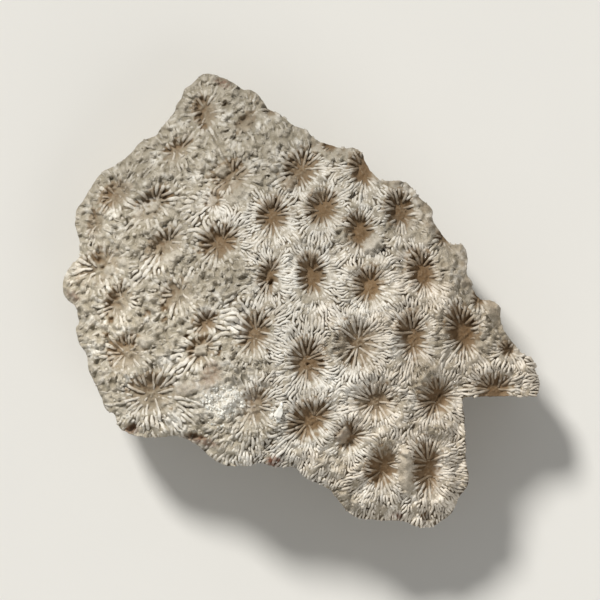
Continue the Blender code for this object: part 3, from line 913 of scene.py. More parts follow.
def build_crust():
    """The upper crust: its surface, a tucked-in skirt and an underside. Also says how many of
    its points are on the surface."""
    settings = bpy.context.scene.coral_stone
    surface = colony()
    step = settings.surface_step / MM
    margin, _ = fine_margin(surface.outline, settings.margin_step / MM)
    height = surface.read(surface.ground, margin)
    shell = Shell(margin, height)
    inner = lattice_inside(margin, step, 0.6 * step)
    shell.fill(inner, surface.read(surface.ground, inner))
    upper = shell.total
    for share, drop in CAP_SKIRT:
        shell.lower(margin * share, height - drop)
    under = lattice_inside(shell.flat, COARSE_FILL, FILL_CLEARANCE)
    shell.fill(under, dome(*under.T) - CAP_THICKNESS, downwards=True)
    return np.vstack(shell.points), shell.faces, upper


def build_flank():
    """Points, faces and lift of the broken sides and the flat base, closed inside the crust."""
    settings = bpy.context.scene.coral_stone
    surface = colony()
    margin, places = fine_margin(surface.outline, settings.flank_step / MM)
    top = surface.read(surface.ground, margin)
    share, drop = FLANK_TOP
    shell = Shell(margin * share, top - drop)
    inner = lattice_inside(shell.flat, COARSE_FILL, FILL_CLEARANCE)
    shell.fill(inner, dome(*inner.T) - FLANK_DEPTH)
    first = shell.total
    levels = np.linspace(0.0, 1.0, settings.side_rows)
    rough = flank_relief(margin, top, places, levels)
    for row, level in enumerate(levels):
        flat = margin * (np.interp(level, *zip(*SIDE_LEVELS)) * FLANK_SHARE)
        flat = flat * (1.0 + rough[row] / np.linalg.norm(flat, axis=1))[:, None]
        shell.lower(flat, (top - FLANK_DROP) * (1.0 - level))
    rows = slice(first, shell.total)
    base = lattice_inside(shell.flat, COARSE_FILL, BASE_CLEARANCE)
    shell.fill(base, np.zeros(len(base)), downwards=True)
    # Painted shade on the broken sides: darker in their recesses, lighter where they stand out.
    cavity_shade = rough - sum(np.roll(rough, shift, 1) for shift in range(-4, 5)) / 9.0
    lift = np.full(shell.total, PLAIN_LIFT)
    lift[rows] = (0.5 + 1.6 * cavity_shade + 0.12 * rough).ravel()
    return np.vstack(shell.points), shell.faces, lift


def flank_relief(margin, top, places, levels):
    """How far the broken side stands out at each row and place: corallite columns, chips,
    ribs, growth bands and holes."""
    relief = np.empty((len(levels), len(margin)))
    for row, level in enumerate(levels):
        z_share = 1.0 - level
        fade = min(1.0, level * 12.0)
        for i, (x, y) in enumerate(margin.tolist()):
            z = top[i] * z_share
            s = places[i]
            here = Vector((x, y, z))
            bend = noise.noise(Vector((x / 6.0, y / 6.0, z / 9.0 + 4.0)))
            column = abs(math.sin(math.pi * (s / COLUMN_WIDTH + 0.35 * bend)))
            nearest, second = noise.voronoi(here / CHIP_SIZE)[0][:2]
            chips = min(0.0, noise.noise(here / 4.0 + Vector((0.0, 0.0, 3.0)))) * CHIP_DEPTH
            edge = max(0.0, CHIP_EDGE - (second - nearest))
            ribbed = 1.6 * noise.noise(here / 5.0 + Vector((5.0, 0.0, 0.0))) + 0.55
            ribbed = min(1.0, max(0.0, ribbed))
            rib = math.cos(2.0 * math.pi * s / RIB_PITCH + 2.5 * bend)
            band = math.sin(2.0 * math.pi * (z / BAND_PITCH + 0.6 * bend))
            grain = noise.noise(here / GRAIN_SIZE)
            hole = max(0.0, noise.noise(here / HOLE_SIZE + Vector((0.0, 9.0, 0.0))) - 0.42)
            relief[row, i] = (
                COLUMN_DEPTH * (math.sqrt(column) - 1.0)
                + chips
                - edge
                + RIB_HEIGHT * ribbed * rib
                + BAND_HEIGHT * band
                + GRAIN_HEIGHT * grain
                - HOLE_DEPTH * hole
            ) * fade
    return relief


def new_object(name, data):
    made = bpy.data.objects.new(name, data)
    bpy.context.scene.collection.objects.link(made)
    return made


def give_values(mesh, **values):
    """Stores a value for each point of the mesh under each name."""
    for name, numbers in values.items():
        numbers = np.asarray(numbers, np.float32)
        kind = "FLOAT_VECTOR" if numbers.ndim == 2 else "FLOAT"
        layer = mesh.attributes.new(name, kind, "POINT")
        layer.data.foreach_set("vector" if numbers.ndim == 2 else "value", numbers.ravel())


def ride(piece):
    """Makes the piece part of the stone's body, in place of the frame's own solid."""
    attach(piece, BODY)
    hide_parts(NODE)


class CORAL_OT_crust(Operator):
    """Build the upper crust with its pits, grooves and worn ground"""

    bl_idname = "coral.build_crust"
    bl_label = "Build the crust"

    def execute(self, context):
        surface = colony()
        points, faces, upper = build_crust()
        mesh = bpy.data.meshes.new("coral_crust")
        mesh.from_pydata(points * MM, [], faces)
        mesh.shade_smooth()
        give_values(mesh, **surface.values_at(points, "lift", "warm", "shade"))
        on_top = np.arange(len(points)) < upper
        for name, values in surface.values_at(points, "worn", "pit", "frost", "stain").items():
            give_values(mesh, **{name: values * on_top})
        mesh.materials.append(limestone())
        ride(new_object("coral_crust", mesh))
        return {"FINISHED"}


class CORAL_OT_flank(Operator):
    """Build the broken sides and the flat base"""

    bl_idname = "coral.build_flank"
    bl_label = "Build the flank"

    def execute(self, context):
        surface = colony()
        points, faces, lift = build_flank()
        mesh = bpy.data.meshes.new("coral_flank")
        mesh.from_pydata(points * MM, [], faces)
        mesh.shade_smooth()
        low = smoothstep(9.0, 2.0, points[:, 2])
        stained = smoothstep(0.4, 0.9, surface.read(surface.waves("stained_flank"), points))
        give_values(
            mesh, lift=lift, stain=0.25 * low * stained, **surface.values_at(points, "warm", "shade")
        )
        mesh.materials.append(limestone())
        ride(new_object("coral_flank", mesh))
        return {"FINISHED"}


# ---------------------------------------------------------------- the ribs


class RibTracer:
    """Traces ribs over the colony so that they keep an even distance from each other."""

    stride = 0.1
    near_share = 0.68  # share of the spacing at which a rib stops short of another
    longest = 6.0
    shortest = 0.8
    stamp_size = 10  # lattice points on each side of a rib that know how near it is
    far = 9.0
    # How far down the pit the ribs of each rank end, as a share of its size.
    floors = ((0.06, 0.22), (0.22, 0.45), (0.5, 0.8))

    def __init__(self, surface, settings):
        self.surface = surface
        on_walls = settings.spacing / MM
        spacing = on_walls * (0.75 + 0.25 * smoothstep(-0.8, 0.3, surface.beyond))
        spacing = spacing * (1.0 + 0.8 * surface.coarse)
        self.spacing = spacing.ravel()
        self.cos = np.cos(2.0 * surface.way).ravel()
        self.sin = np.sin(2.0 * surface.way).ravel()
        self.inside = surface.inside.ravel()
        self.reach = surface.reach.ravel()
        self.clearance = np.full(surface.x.shape, self.far)
        cells = np.arange(-self.stamp_size, self.stamp_size + 1)
        self.cell_x, self.cell_y = np.meshgrid(cells, cells)
        self.ribs = []

    def cell(self, x, y):
        column = round((x - self.surface.low[0]) / LATTICE_PITCH)
        row = round((y - self.surface.low[1]) / LATTICE_PITCH)
        return int(row) * self.surface.columns + int(column)

    def way(self, x, y, way_x, way_y):
        """The ribs' direction at a place, turned to agree with the way given."""
        across = (x - self.surface.low[0]) / LATTICE_PITCH
        up = (y - self.surface.low[1]) / LATTICE_PITCH
        column, row = int(across), int(up)
        right, above = across - column, up - row
        here = row * self.surface.columns + column
        over = here + self.surface.columns
        shares = (
            (here, (1 - right) * (1 - above)),
            (here + 1, right * (1 - above)),
            (over, (1 - right) * above),
            (over + 1, right * above),
        )
        double_x = double_y = 0.0
        for cell, share in shares:
            double_x += share * self.cos.item(cell)
            double_y += share * self.sin.item(cell)
        angle = 0.5 * math.atan2(double_y, double_x)
        new_x, new_y = math.cos(angle), math.sin(angle)
        if new_x * way_x + new_y * way_y < 0.0:
            return -new_x, -new_y
        return new_x, new_y

    def half(self, x, y, way_x, way_y, floor):
        """One rib from a place onwards, until it leaves the stone, nears another or meets a floor."""
        points = []
        lowest = self.far
        clearance = self.clearance.ravel()
        for _ in range(round(self.longest / self.stride)):
            half_x, half_y = self.way(x, y, way_x, way_y)
            half_x, half_y = self.way(
                x + 0.5 * self.stride * half_x, y + 0.5 * self.stride * half_y, half_x, half_y
            )
            if half_x * way_x + half_y * way_y < 0.2:
                break
            x += self.stride * half_x
            y += self.stride * half_y
            way_x, way_y = half_x, half_y
            cell = self.cell(x, y)
            if not self.inside.item(cell) or self.reach.item(cell) < floor:
                break
            if clearance.item(cell) < self.near_share * self.spacing.item(cell):
                break
            reach = self.reach.item(cell)
            lowest = min(lowest, reach)
            if lowest < 0.6 and reach > lowest + 0.1:
                break
            points.append((x, y))
        return points

    def stamp(self, points):
        """Records how near the rib comes to every lattice point round it."""
        size = self.stamp_size
        for x, y in points:
            across = (x - self.surface.low[0]) / LATTICE_PITCH
            up = (y - self.surface.low[1]) / LATTICE_PITCH
            column, row = round(across), round(up)
            distance = np.hypot(self.cell_x + column - across, self.cell_y + row - up) * LATTICE_PITCH
            window = self.clearance[row - size : row + size + 1, column - size : column + size + 1]
            np.minimum(window, distance, out=window)

    def add(self, x, y, floor, share=1.0):
        """Traces a rib both ways from a place that is clear enough of the others."""
        cell = self.cell(x, y)
        if not self.inside.item(cell):
            return
        if self.clearance.ravel().item(cell) < share * self.spacing.item(cell):
            return
        angle = 0.5 * math.atan2(self.sin.item(cell), self.cos.item(cell))
        way_x, way_y = math.cos(angle), math.sin(angle)
        back = self.half(x, y, -way_x, -way_y, floor)
        points = back[::-1] + [(x, y)] + self.half(x, y, way_x, way_y, floor)
        if len(points) * self.stride >= self.shortest:
            self.stamp(points)
            self.ribs.append(np.array(points))

    def ring(self, calice, rng):
        """The ribs that cross a pit's lip, evenly round it, the longest first."""
        angles = np.linspace(0.0, 2.0 * math.pi, 361)
        rim = np.column_stack([calice.long * np.cos(angles), calice.short * np.sin(angles)])
        travelled = travelled_along(rim)
        middle = self.cell(calice.x, calice.y)
        coarse = self.surface.coarse.ravel().item(middle)
        pitch = bpy.context.scene.coral_ribs.pit_spacing / MM * (1.0 + 0.3 * coarse)
        count = 4 * max(2, round(travelled[-1] / pitch / 4))
        ranks = [0 if k % 4 == 0 else 1 if k % 2 == 0 else 2 for k in range(count)]
        start = rng.uniform()
        bare = rng.uniform(0.0, 0.2) + 0.3 * self.surface.puffy.ravel().item(middle)
        for k in sorted(range(count), key=lambda k: (ranks[k], k)):
            place = (k + start) / count % 1.0 * travelled[-1]
            angle = np.interp(place, travelled, angles) + rng.normal() * 0.06
            along, across = calice.long * math.cos(angle), calice.short * math.sin(angle)
            x, y = placed(along, across, calice)
            floor = rng.uniform(*self.floors[ranks[k]]) * (1.0 - bare) + 0.8 * bare
            self.add(x, y, floor, 0.8)

    def fill(self, rng, least, most):
        """Ribs wherever there is still room, nearest to the others first."""
        places = rng.permutation(np.flatnonzero(self.inside))
        room = self.clearance.ravel()
        for cell in places[room[places] / self.spacing[places] >= least]:
            cell = int(cell)
            if least <= room.item(cell) / self.spacing.item(cell) <= most:
                row, column = divmod(cell, self.surface.columns)
                x = self.surface.low[0] + LATTICE_PITCH * column
                y = self.surface.low[1] + LATTICE_PITCH * row
                self.add(x, y, rng.uniform(0.9, 1.08))


def traced_ribs():
    """The ribs that cross the pits' rims, then those that fill the walls between them."""
    settings = bpy.context.scene.coral_ribs
    tracer = RibTracer(colony(), settings)
    rng = np.random.default_rng(settings.seed)
    for calice in sorted(CALICES, key=lambda calice: -calice.long * calice.short):
        tracer.ring(calice, rng)
    for most in (1.25, 1.25, tracer.far, tracer.far):
        tracer.fill(rng, 1.0, most)
    return [eased(rib, settings.step / MM) for rib in tracer.ribs]


def eased(rib, step):
    """A rib without the small kinks of its tracing, at an even step."""
    for _ in range(3):
        rib[1:-1] = (rib[:-2] + 2.0 * rib[1:-1] + rib[2:]) / 4.0
    rib = rib + [[0.06 * flat_noise(x, y, 0.5, layer) for layer in (61.0, 62.0)] for x, y in rib]
    travelled = travelled_along(rib)
    count = max(3, round(travelled[-1] / step) + 1)
    return line_at(rib, travelled, np.linspace(0.0, travelled[-1], count))


def room_beside(ribs, flat, tangent):
    """How far it is from each point of a rib to the next ribs on its left and its right."""
    farthest = 1.0
    owner = np.repeat(np.arange(len(ribs)), [len(rib) for rib in ribs])
    tree = nearest_finder(flat)
    left = np.full(len(flat), farthest)
    right = np.full(len(flat), farthest)
    for index, ((x, y), (way_x, way_y)) in enumerate(zip(flat.tolist(), tangent.tolist())):
        for place, other, distance in tree.find_range((x, y, 0.0), farthest):
            if owner[other] == owner[index]:
                continue
            across = (place.y - y) * way_x - (place.x - x) * way_y
            if abs(across) > 0.6 * distance:
                side = left if across > 0 else right
                side[index] = min(side[index], distance)
    start = 0
    for rib in ribs:
        part = slice(start, start + len(rib))
        for side in (left, right):
            side[part] = np.convolve(np.pad(side[part], 2, "edge"), [0.1, 0.2, 0.4, 0.2, 0.1], "valid")
        start += len(rib)
    return left, right


def rib_paths():
    """A mesh of loose edges along the ribs, with what a section needs at each point."""
    surface = colony()
    settings = bpy.context.scene.coral_ribs
    ribs = traced_ribs()
    flat = np.vstack(ribs)
    tangent = np.vstack([np.gradient(rib, axis=0) for rib in ribs])
    tangent /= np.linalg.norm(tangent, axis=1)[:, None]
    ends = np.concatenate([np.minimum(np.arange(len(rib)), np.arange(len(rib))[::-1]) for rib in ribs])
    starts = np.cumsum([0] + [len(rib) for rib in ribs])
    edges = np.concatenate([np.arange(a, b - 1) for a, b in zip(starts[:-1], starts[1:])])
    edges = np.column_stack([edges, edges + 1])

    def at(values):
        return surface.read(values, flat)

    ground = at(surface.ground)
    slope = np.column_stack([at(surface.slope_x), at(surface.slope_y)])
    up = np.column_stack([-0.7 * slope, np.ones(len(flat))])
    up /= np.linalg.norm(up, axis=1)[:, None]
    side = np.cross(np.column_stack([tangent, (tangent * slope).sum(1)]), up)
    side /= np.linalg.norm(side, axis=1)[:, None]

    bead = at(surface.waves("beads"))
    slow = at(surface.waves("slow_widths"))
    taper = np.clip((ends + 0.6) / 2.0, 0.0, 1.0)
    # Ribs are browner deep in a pit and on its high side, partly as painted shade.
    in_pit = at(surface.pit * (0.3 + 0.7 * surface.deep))
    rise = at(surface.crest) - ground
    rise = (rise + 0.06 * bead + 0.03 * slow + 0.05 * in_pit) * (0.55 + 0.45 * taper)
    ruined = smoothstep(0.3, 0.8, np.maximum(at(surface.worn), 0.8 * at(surface.mud)))
    stump = -0.03 + 0.08 * at(surface.waves("broken_ribs")) + 0.03 * bead
    rise = rise * (1.0 - ruined) + stump * ruined
    rise -= 0.3 * at(surface.smooth) + at(surface.hole)
    sunk = np.minimum(rise + settings.root / MM - 0.05, 0.0)
    rise -= sunk
    ground += sunk

    left, right = room_beside(ribs, flat, tangent)
    thin, widest = settings.pit_width / MM, settings.width / MM
    on_wall = smoothstep(-0.5, 0.35, at(surface.beyond))
    widest = widest * (1.0 + 0.45 * at(surface.coarse))
    wide = np.clip(0.485 * (left + right), thin, widest) * (1.0 - 0.35 * ruined)
    thin = thin * (0.7 + 0.3 * smoothstep(0.1, 0.6, at(surface.reach)))
    width = thin + (wide - thin) * on_wall
    width *= (1.0 + 0.10 * bead + 0.06 * slow) * (0.5 + 0.5 * taper)
    shift = np.clip(0.25 * (left - right), -0.12, 0.12) * on_wall

    mesh = bpy.data.meshes.new("rib_paths")
    mesh.vertices.add(len(flat))
    mesh.vertices.foreach_set("co", (np.column_stack([flat, ground]) * MM).ravel())
    mesh.edges.add(len(edges))
    mesh.edges.foreach_set("vertices", edges.ravel())
    give_values(
        mesh,
        centre=(np.column_stack([flat, ground]) - side * shift[:, None]) * MM,
        side=side,
        up=up,
        rise=rise * MM,
        width=width * MM,
        pit=in_pit,
        **surface.values_at(flat, "worn", "warm", "shade", "frost", "stain"),
    )
    return mesh


class Tree:
    """A short way to write node trees."""

    def __init__(self, nodes, links):
        self.nodes = nodes
        self.links = links

    def node(self, kind, inputs=None, **options):
        made = self.nodes.new(kind)
        for name, value in options.items():
            setattr(made, name, value)
        for name, value in (inputs or {}).items():
            self.set(made.inputs[name], value)
        return made

    def set(self, socket, value):
        if isinstance(value, bpy.types.NodeSocket):
            self.links.new(value, socket)
        elif isinstance(value, bpy.types.Node):
            self.links.new(value.outputs[0], socket)
        else:
            socket.default_value = value

    def math(self, operation, *values):
        inputs = dict(enumerate(values))
        return self.node("ShaderNodeMath", inputs, operation=operation).outputs[0]

    def vector_math(self, operation, *values):
        inputs = dict(enumerate(values))
        return self.node("ShaderNodeVectorMath", inputs, operation=operation).outputs[0]

    def scaled(self, vector, scale):
        inputs = {0: vector, "Scale": scale}
        return self.node("ShaderNodeVectorMath", inputs, operation="SCALE").outputs[0]


def geometry_tree(name, **inputs):
    """A geometry tree with a geometry input, these named inputs and a geometry output."""
    group = bpy.data.node_groups.new(name, "GeometryNodeTree")
    group.interface.new_socket("Geometry", in_out="INPUT", socket_type="NodeSocketGeometry")
    for label, (kind, value) in inputs.items():
        socket = group.interface.new_socket(label, in_out="INPUT", socket_type=kind)
        if value is not None:
            socket.default_value = value
    group.interface.new_socket("Geometry", in_out="OUTPUT", socket_type="NodeSocketGeometry")
    tree = Tree(group.nodes, group.links)
    tree.group = group
    tree.input = tree.node("NodeGroupInput")
    tree.output = tree.node("NodeGroupOutput")
    return tree


def named(tree, name, kind="FLOAT"):
    node = tree.node("GeometryNodeInputNamedAttribute", {"Name": name}, data_type=kind)
    return node.outputs["Attribute"]


def stored(tree, geometry, name, value, domain="POINT"):
    return tree.node(
        "GeometryNodeStoreNamedAttribute",
        {"Geometry": geometry, "Name": name, "Value": value},
        data_type="FLOAT",
        domain=domain,
    )


def random_value(tree, low, high):
    """A random number or vector for each instance, from the tree's seed."""
    inputs = {"Seed": tree.input.outputs["Seed"]}
    if isinstance(low, tuple):
        inputs.update({0: low, 1: high})
        return tree.node("FunctionNodeRandomValue", inputs, data_type="FLOAT_VECTOR").outputs[0]
    inputs.update({2: low, 3: high})
    return tree.node("FunctionNodeRandomValue", inputs, data_type="FLOAT").outputs[1]


def finish_geometry(tree, geometry, smooth=True):
    """Realises the instances, sets their shading and gives them the tree's material."""
    material = tree.input.outputs["Material"]
    real = tree.node("GeometryNodeRealizeInstances", {"Geometry": geometry})
    shaded = tree.node("GeometryNodeSetShadeSmooth", {"Geometry": real, "Shade Smooth": smooth})
    done = tree.node("GeometryNodeSetMaterial", {"Geometry": shaded, "Material": material})
    tree.set(tree.output.inputs["Geometry"], done)


def rib_tree():
    """Sweeps a four-sided section along loose edges, its foot in the stone."""
    tree = geometry_tree(
        "Ribs",
        Root=("NodeSocketFloat", 0.15 * MM),
        Crest=("NodeSocketFloat", 0.74),
        Material=("NodeSocketMaterial", None),
    )
    given = tree.input.outputs
    corner = tree.node("GeometryNodeCurvePrimitiveQuadrilateral", {"Width": 2.0, "Height": 2.0})
    place = tree.node("ShaderNodeSeparateXYZ", {0: tree.node("GeometryNodeInputPosition")})
    section = stored(tree, corner, "across", place.outputs["X"])
    # Painted shade: lift runs from 0 at the rib's foot, coloured like a groove, to 1 at its crest.
    section = stored(tree, section, "lift", tree.math("MULTIPLY_ADD", place.outputs["Y"], 0.5, 0.5))
    paths = tree.node("GeometryNodeMeshToCurve", {"Mesh": given["Geometry"]})
    swept = tree.node(
        "GeometryNodeCurveToMesh",
        {"Curve": paths, "Profile Curve": section, "Fill Caps": True},
    )
    lift = named(tree, "lift")
    narrow = tree.math("SUBTRACT", given["Crest"], 1.0)
    narrow = tree.math("MULTIPLY_ADD", narrow, lift, 1.0)
    half = tree.math("MULTIPLY", named(tree, "width"), 0.5)
    half = tree.math("MULTIPLY", half, narrow)
    offset = tree.math("MULTIPLY", half, named(tree, "across"))
    sideways = tree.scaled(named(tree, "side", "FLOAT_VECTOR"), offset)
    full = tree.math("ADD", named(tree, "rise"), given["Root"])
    height = tree.math("MULTIPLY", full, lift)
    height = tree.math("SUBTRACT", height, given["Root"])
    upwards = tree.scaled(named(tree, "up", "FLOAT_VECTOR"), height)
    position = tree.vector_math("ADD", named(tree, "centre", "FLOAT_VECTOR"), sideways)
    position = tree.vector_math("ADD", position, upwards)
    swept = tree.node("GeometryNodeSetPosition", {"Geometry": swept, "Position": position})
    finish_geometry(tree, tree.node("GeometryNodeFlipFaces", {"Mesh": swept}))
    return tree.group


STONE_VALUES = (
    "lift", "worn", "warm", "shade", "pit", "frost", "stain", "material_index", "sharp_face",
)


def made_by_tree(name, source, group, inputs):
    """The mesh that a tree makes from a source mesh, as a plain object with the stone's values."""
    carrier = new_object(name + "_source", source)
    modifier = carrier.modifiers.new(group.name, "NODES")
    modifier.node_group = group
    for item in group.interface.items_tree:
        if item.in_out == "INPUT" and item.name in inputs:
            modifier[item.identifier] = inputs[item.name]
    graph = bpy.context.evaluated_depsgraph_get()
    mesh = bpy.data.meshes.new_from_object(
        carrier.evaluated_get(graph), preserve_all_data_layers=True, depsgraph=graph
    )
    mesh.name = name
    carrier.modifiers.remove(modifier)
    bpy.data.objects.remove(carrier)
    for layer in [layer.name for layer in mesh.attributes]:
        layer = mesh.attributes.get(layer)
        if layer.is_internal or layer.is_required or layer.name in STONE_VALUES:
            continue
        mesh.attributes.remove(layer)
    mesh.polygons.foreach_set("material_index", np.zeros(len(mesh.polygons), np.int32))
    mesh.materials.clear()
    mesh.materials.append(inputs["Material"])
    return new_object(name, mesh)


class CORAL_OT_ribs(Operator):
    """Sweep the ribs over the walls and down into the pits"""

    bl_idname = "coral.grow_ribs"
    bl_label = "Grow the ribs"

    def execute(self, context):
        inputs = {"Root": context.scene.coral_ribs.root, "Material": limestone()}
        ride(made_by_tree("coral_ribs", rib_paths(), rib_tree(), inputs))
        return {"FINISHED"}


# ---------------------------------------------------------------- crumbs and crystals


CRUMBS_PER_AREA = 3.0e6  # the most to a square metre, before their spacing thins them
CRYSTALS_PER_AREA = 25.0e6
CHIP_CORNERS = 18
CHIPS = [
    Oval(-3.3, -16.6, 1.2, 0.65, 72, 0.32), Oval(-3.5, -17.7, 0.6, 0.45, 20, 0.25),
    Oval(-2.9, -15.5, 0.5, 0.3, 100, 0.2), Oval(-4.3, -17.0, 0.45, 0.3, 40, 0.2),
]


def crumb_shape(tree):
    """A ball with rounded bumps."""
    place = tree.node("GeometryNodeInputPosition")
    ball = tree.node("GeometryNodeMeshIcoSphere", {"Radius": 1.0, "Subdivisions": 2})
    bumps = tree.node("ShaderNodeTexNoise", {"Vector": place, "Scale": 1.1, "Detail": 1.0})
    bumps = tree.vector_math("SUBTRACT", bumps.outputs["Color"], (0.5, 0.5, 0.5))
    offset = tree.scaled(bumps, 1.1)
    return tree.node("GeometryNodeSetPosition", {"Geometry": ball, "Offset": offset})


def crystal_shape(tree):
    """A box that leans, as calcite does."""
    place = tree.node("ShaderNodeSeparateXYZ", {0: tree.node("GeometryNodeInputPosition")})
    box = tree.node("GeometryNodeMeshCube", {"Size": (1.5, 1.5, 1.5)})
    lean = tree.math("MULTIPLY", place.outputs["Z"], 0.5)
    lean = tree.node("ShaderNodeCombineXYZ", {"X": lean})
    return tree.node("GeometryNodeSetPosition", {"Geometry": box, "Offset": lean})


def scatter_tree(name, shape, smooth):
    """Scatters shapes over a surface, more of them where its "density" is higher."""
    tree = geometry_tree(
        name,
        Spacing=("NodeSocketFloat", 0.4 * MM),
        Density=("NodeSocketFloat", 1.0e6),
        Smallest=("NodeSocketFloat", 0.1 * MM),
        Largest=("NodeSocketFloat", 0.3 * MM),
        Seed=("NodeSocketInt", 1),
        Material=("NodeSocketMaterial", None),
    )
    given = tree.input.outputs
    points = tree.node(
        "GeometryNodeDistributePointsOnFaces",
        {
            "Mesh": given["Geometry"],
            "Distance Min": given["Spacing"],
            "Density Max": given["Density"],
            "Density Factor": named(tree, "density"),
            "Seed": given["Seed"],
        },
        distribute_method="POISSON",
    )
    turn = random_value(tree, (0.0, 0.0, 0.0), (6.283, 6.283, 6.283))
    wide = random_value(tree, (0.7, 0.7, 0.5), (1.2, 1.2, 0.9))
    size = tree.node(
        "ShaderNodeMapRange",
        {
            "Value": tree.math("POWER", random_value(tree, 0.0, 1.0), 2.0),
            "To Min": given["Smallest"],
            "To Max": given["Largest"],
        },
    )
    placed_shapes = tree.node(
        "GeometryNodeInstanceOnPoints",
        {
            "Points": points,
            "Instance": shape(tree),
            "Rotation": turn,
            "Scale": tree.scaled(wide, size),
        },
    )
    tone = random_value(tree, 0.62, 0.9)
    finish_geometry(tree, stored(tree, placed_shapes, "lift", tone, "INSTANCE"), smooth)
    return tree.group


def scatter_ground(name, density):
    """A copy of the crust's mesh that says how thickly its upper side is strewn."""
    surface = colony()
    mesh = bpy.data.objects["coral_crust"].data.copy()
    mesh.name = name
    points = np.empty(len(mesh.vertices) * 3)
    mesh.vertices.foreach_get("co", points)
    points = points.reshape(-1, 3) / MM
    on_top = surface.read(surface.ground, points) - points[:, 2] < 0.05
    give_values(mesh, density=surface.read(density, points) * on_top)
    return mesh


def strew(name, density, tree, settings, thickest, material):
    """A piece of many small shapes, strewn over the crust where the density says."""
    inputs = {
        "Spacing": settings.spacing,
        "Density": thickest,
        "Smallest": settings.smallest,
        "Largest": settings.largest,
        "Seed": settings.seed,
        "Material": material,
    }
    ride(made_by_tree(name, scatter_ground(name + "_ground", density), tree, inputs))


class CORAL_OT_crumbs(Operator):
    """Strew crumbs of hardened sediment over the worn stone"""

    bl_idname = "coral.strew_crumbs"
    bl_label = "Strew the crumbs"

    def execute(self, context):
        surface = colony()
        bare = np.maximum(surface.worn, 0.5 * surface.mud) * (1.0 - surface.smooth)
        patchy = smoothstep(-0.9, 1.2, surface.waves("crumby_ground"))
        density = np.clip(0.6 * bare * patchy + 0.02 * surface.inside, 0.0, 1.0)
        density *= smoothstep(0.5, 1.2, surface.inward) * (1.0 - surface.hole)
        tree = scatter_tree("Crumbs", crumb_shape, True)
        settings = context.scene.coral_crumbs
        strew("coral_crumbs", density, tree, settings, CRUMBS_PER_AREA, limestone())
        return {"FINISHED"}


class CORAL_OT_calcite(Operator):
    """Grow small calcite crystals on the white patches"""

    bl_idname = "coral.grow_calcite"
    bl_label = "Grow the calcite"

    def execute(self, context):
        density = np.clip(colony().patches(CALCITE_PATCHES, 0.6, 1.2), 0.0, 1.0)
        tree = scatter_tree("Calcite", crystal_shape, False)
        settings = context.scene.coral_calcite
        strew("coral_calcite", density, tree, settings, CRYSTALS_PER_AREA, calcite())
        return {"FINISHED"}


def chip_mesh():
    """A few larger crystals: each the hull of corners spread over a flat ellipsoid."""
    surface = colony()
    rng = np.random.default_rng(CHIP_SEED)
    mesh = bmesh.new()
    for chip in CHIPS:
        corners = rng.normal(size=(CHIP_CORNERS, 3))
        corners /= np.linalg.norm(corners, axis=1)[:, None]
        along, across, height = (corners * (chip.long, chip.short, chip.strength)).T
        x, y = placed(along, across, chip)
        z = surface.read(surface.crest, np.array([[chip.x, chip.y]]))[0] + 0.1
        z = z + height - 0.15 * (y - chip.y)
        corners = [mesh.verts.new(Vector(corner) * MM) for corner in zip(x, y, z)]
        hull = bmesh.ops.convex_hull(mesh, input=corners)
        loose = [item for item in hull["geom_interior"] if isinstance(item, bmesh.types.BMVert)]
        bmesh.ops.delete(mesh, geom=loose, context="VERTS")
    bmesh.ops.recalc_face_normals(mesh, faces=mesh.faces[:])
    chips = bpy.data.meshes.new("coral_chips")
    mesh.to_mesh(chips)
    mesh.free()
    return chips


class CORAL_OT_chips(Operator):
    """Set a few larger calcite crystals in their pit"""

    bl_idname = "coral.set_chips"
    bl_label = "Set the chips"

    def execute(self, context):
        mesh = chip_mesh()
        mesh.materials.append(calcite())
        ride(new_object("coral_chips", mesh))
        return {"FINISHED"}


# ---------------------------------------------------------------- materials


def mix_colour(tree, share, first, second, blend="MIX"):
    inputs = {0: share, 6: first, 7: second}
    return tree.node("ShaderNodeMix", inputs, data_type="RGBA", blend_type=blend).outputs[2]


def material_tree(name):
    material = bpy.data.materials.new(name)
    material.use_nodes = True
    tree = Tree(material.node_tree.nodes, material.node_tree.links)
    tree.material = material
    tree.shader = material.node_tree.nodes["Principled BSDF"].inputs
    tree.place = tree.node("ShaderNodeTexCoord").outputs["Object"]
    return tree


def noise_value(tree, size, detail=2.0, rough=0.5):
    node = tree.node(
        "ShaderNodeTexNoise",
        {"Vector": tree.place, "Scale": 1.0 / size, "Detail": detail, "Roughness": rough},
    )
    return node.outputs["Fac"]


def ranged(tree, value, low, high, to_low=0.0, to_high=1.0):
    node = tree.node(
        "ShaderNodeMapRange",
        {"Value": value, "From Min": low, "From Max": high, "To Min": to_low, "To Max": to_high},
        interpolation_type="SMOOTHSTEP",
    )
    return node.outputs["Result"]


def stone_colour(name):
    return (*getattr(bpy.context.scene.coral_colours, name), 1.0)


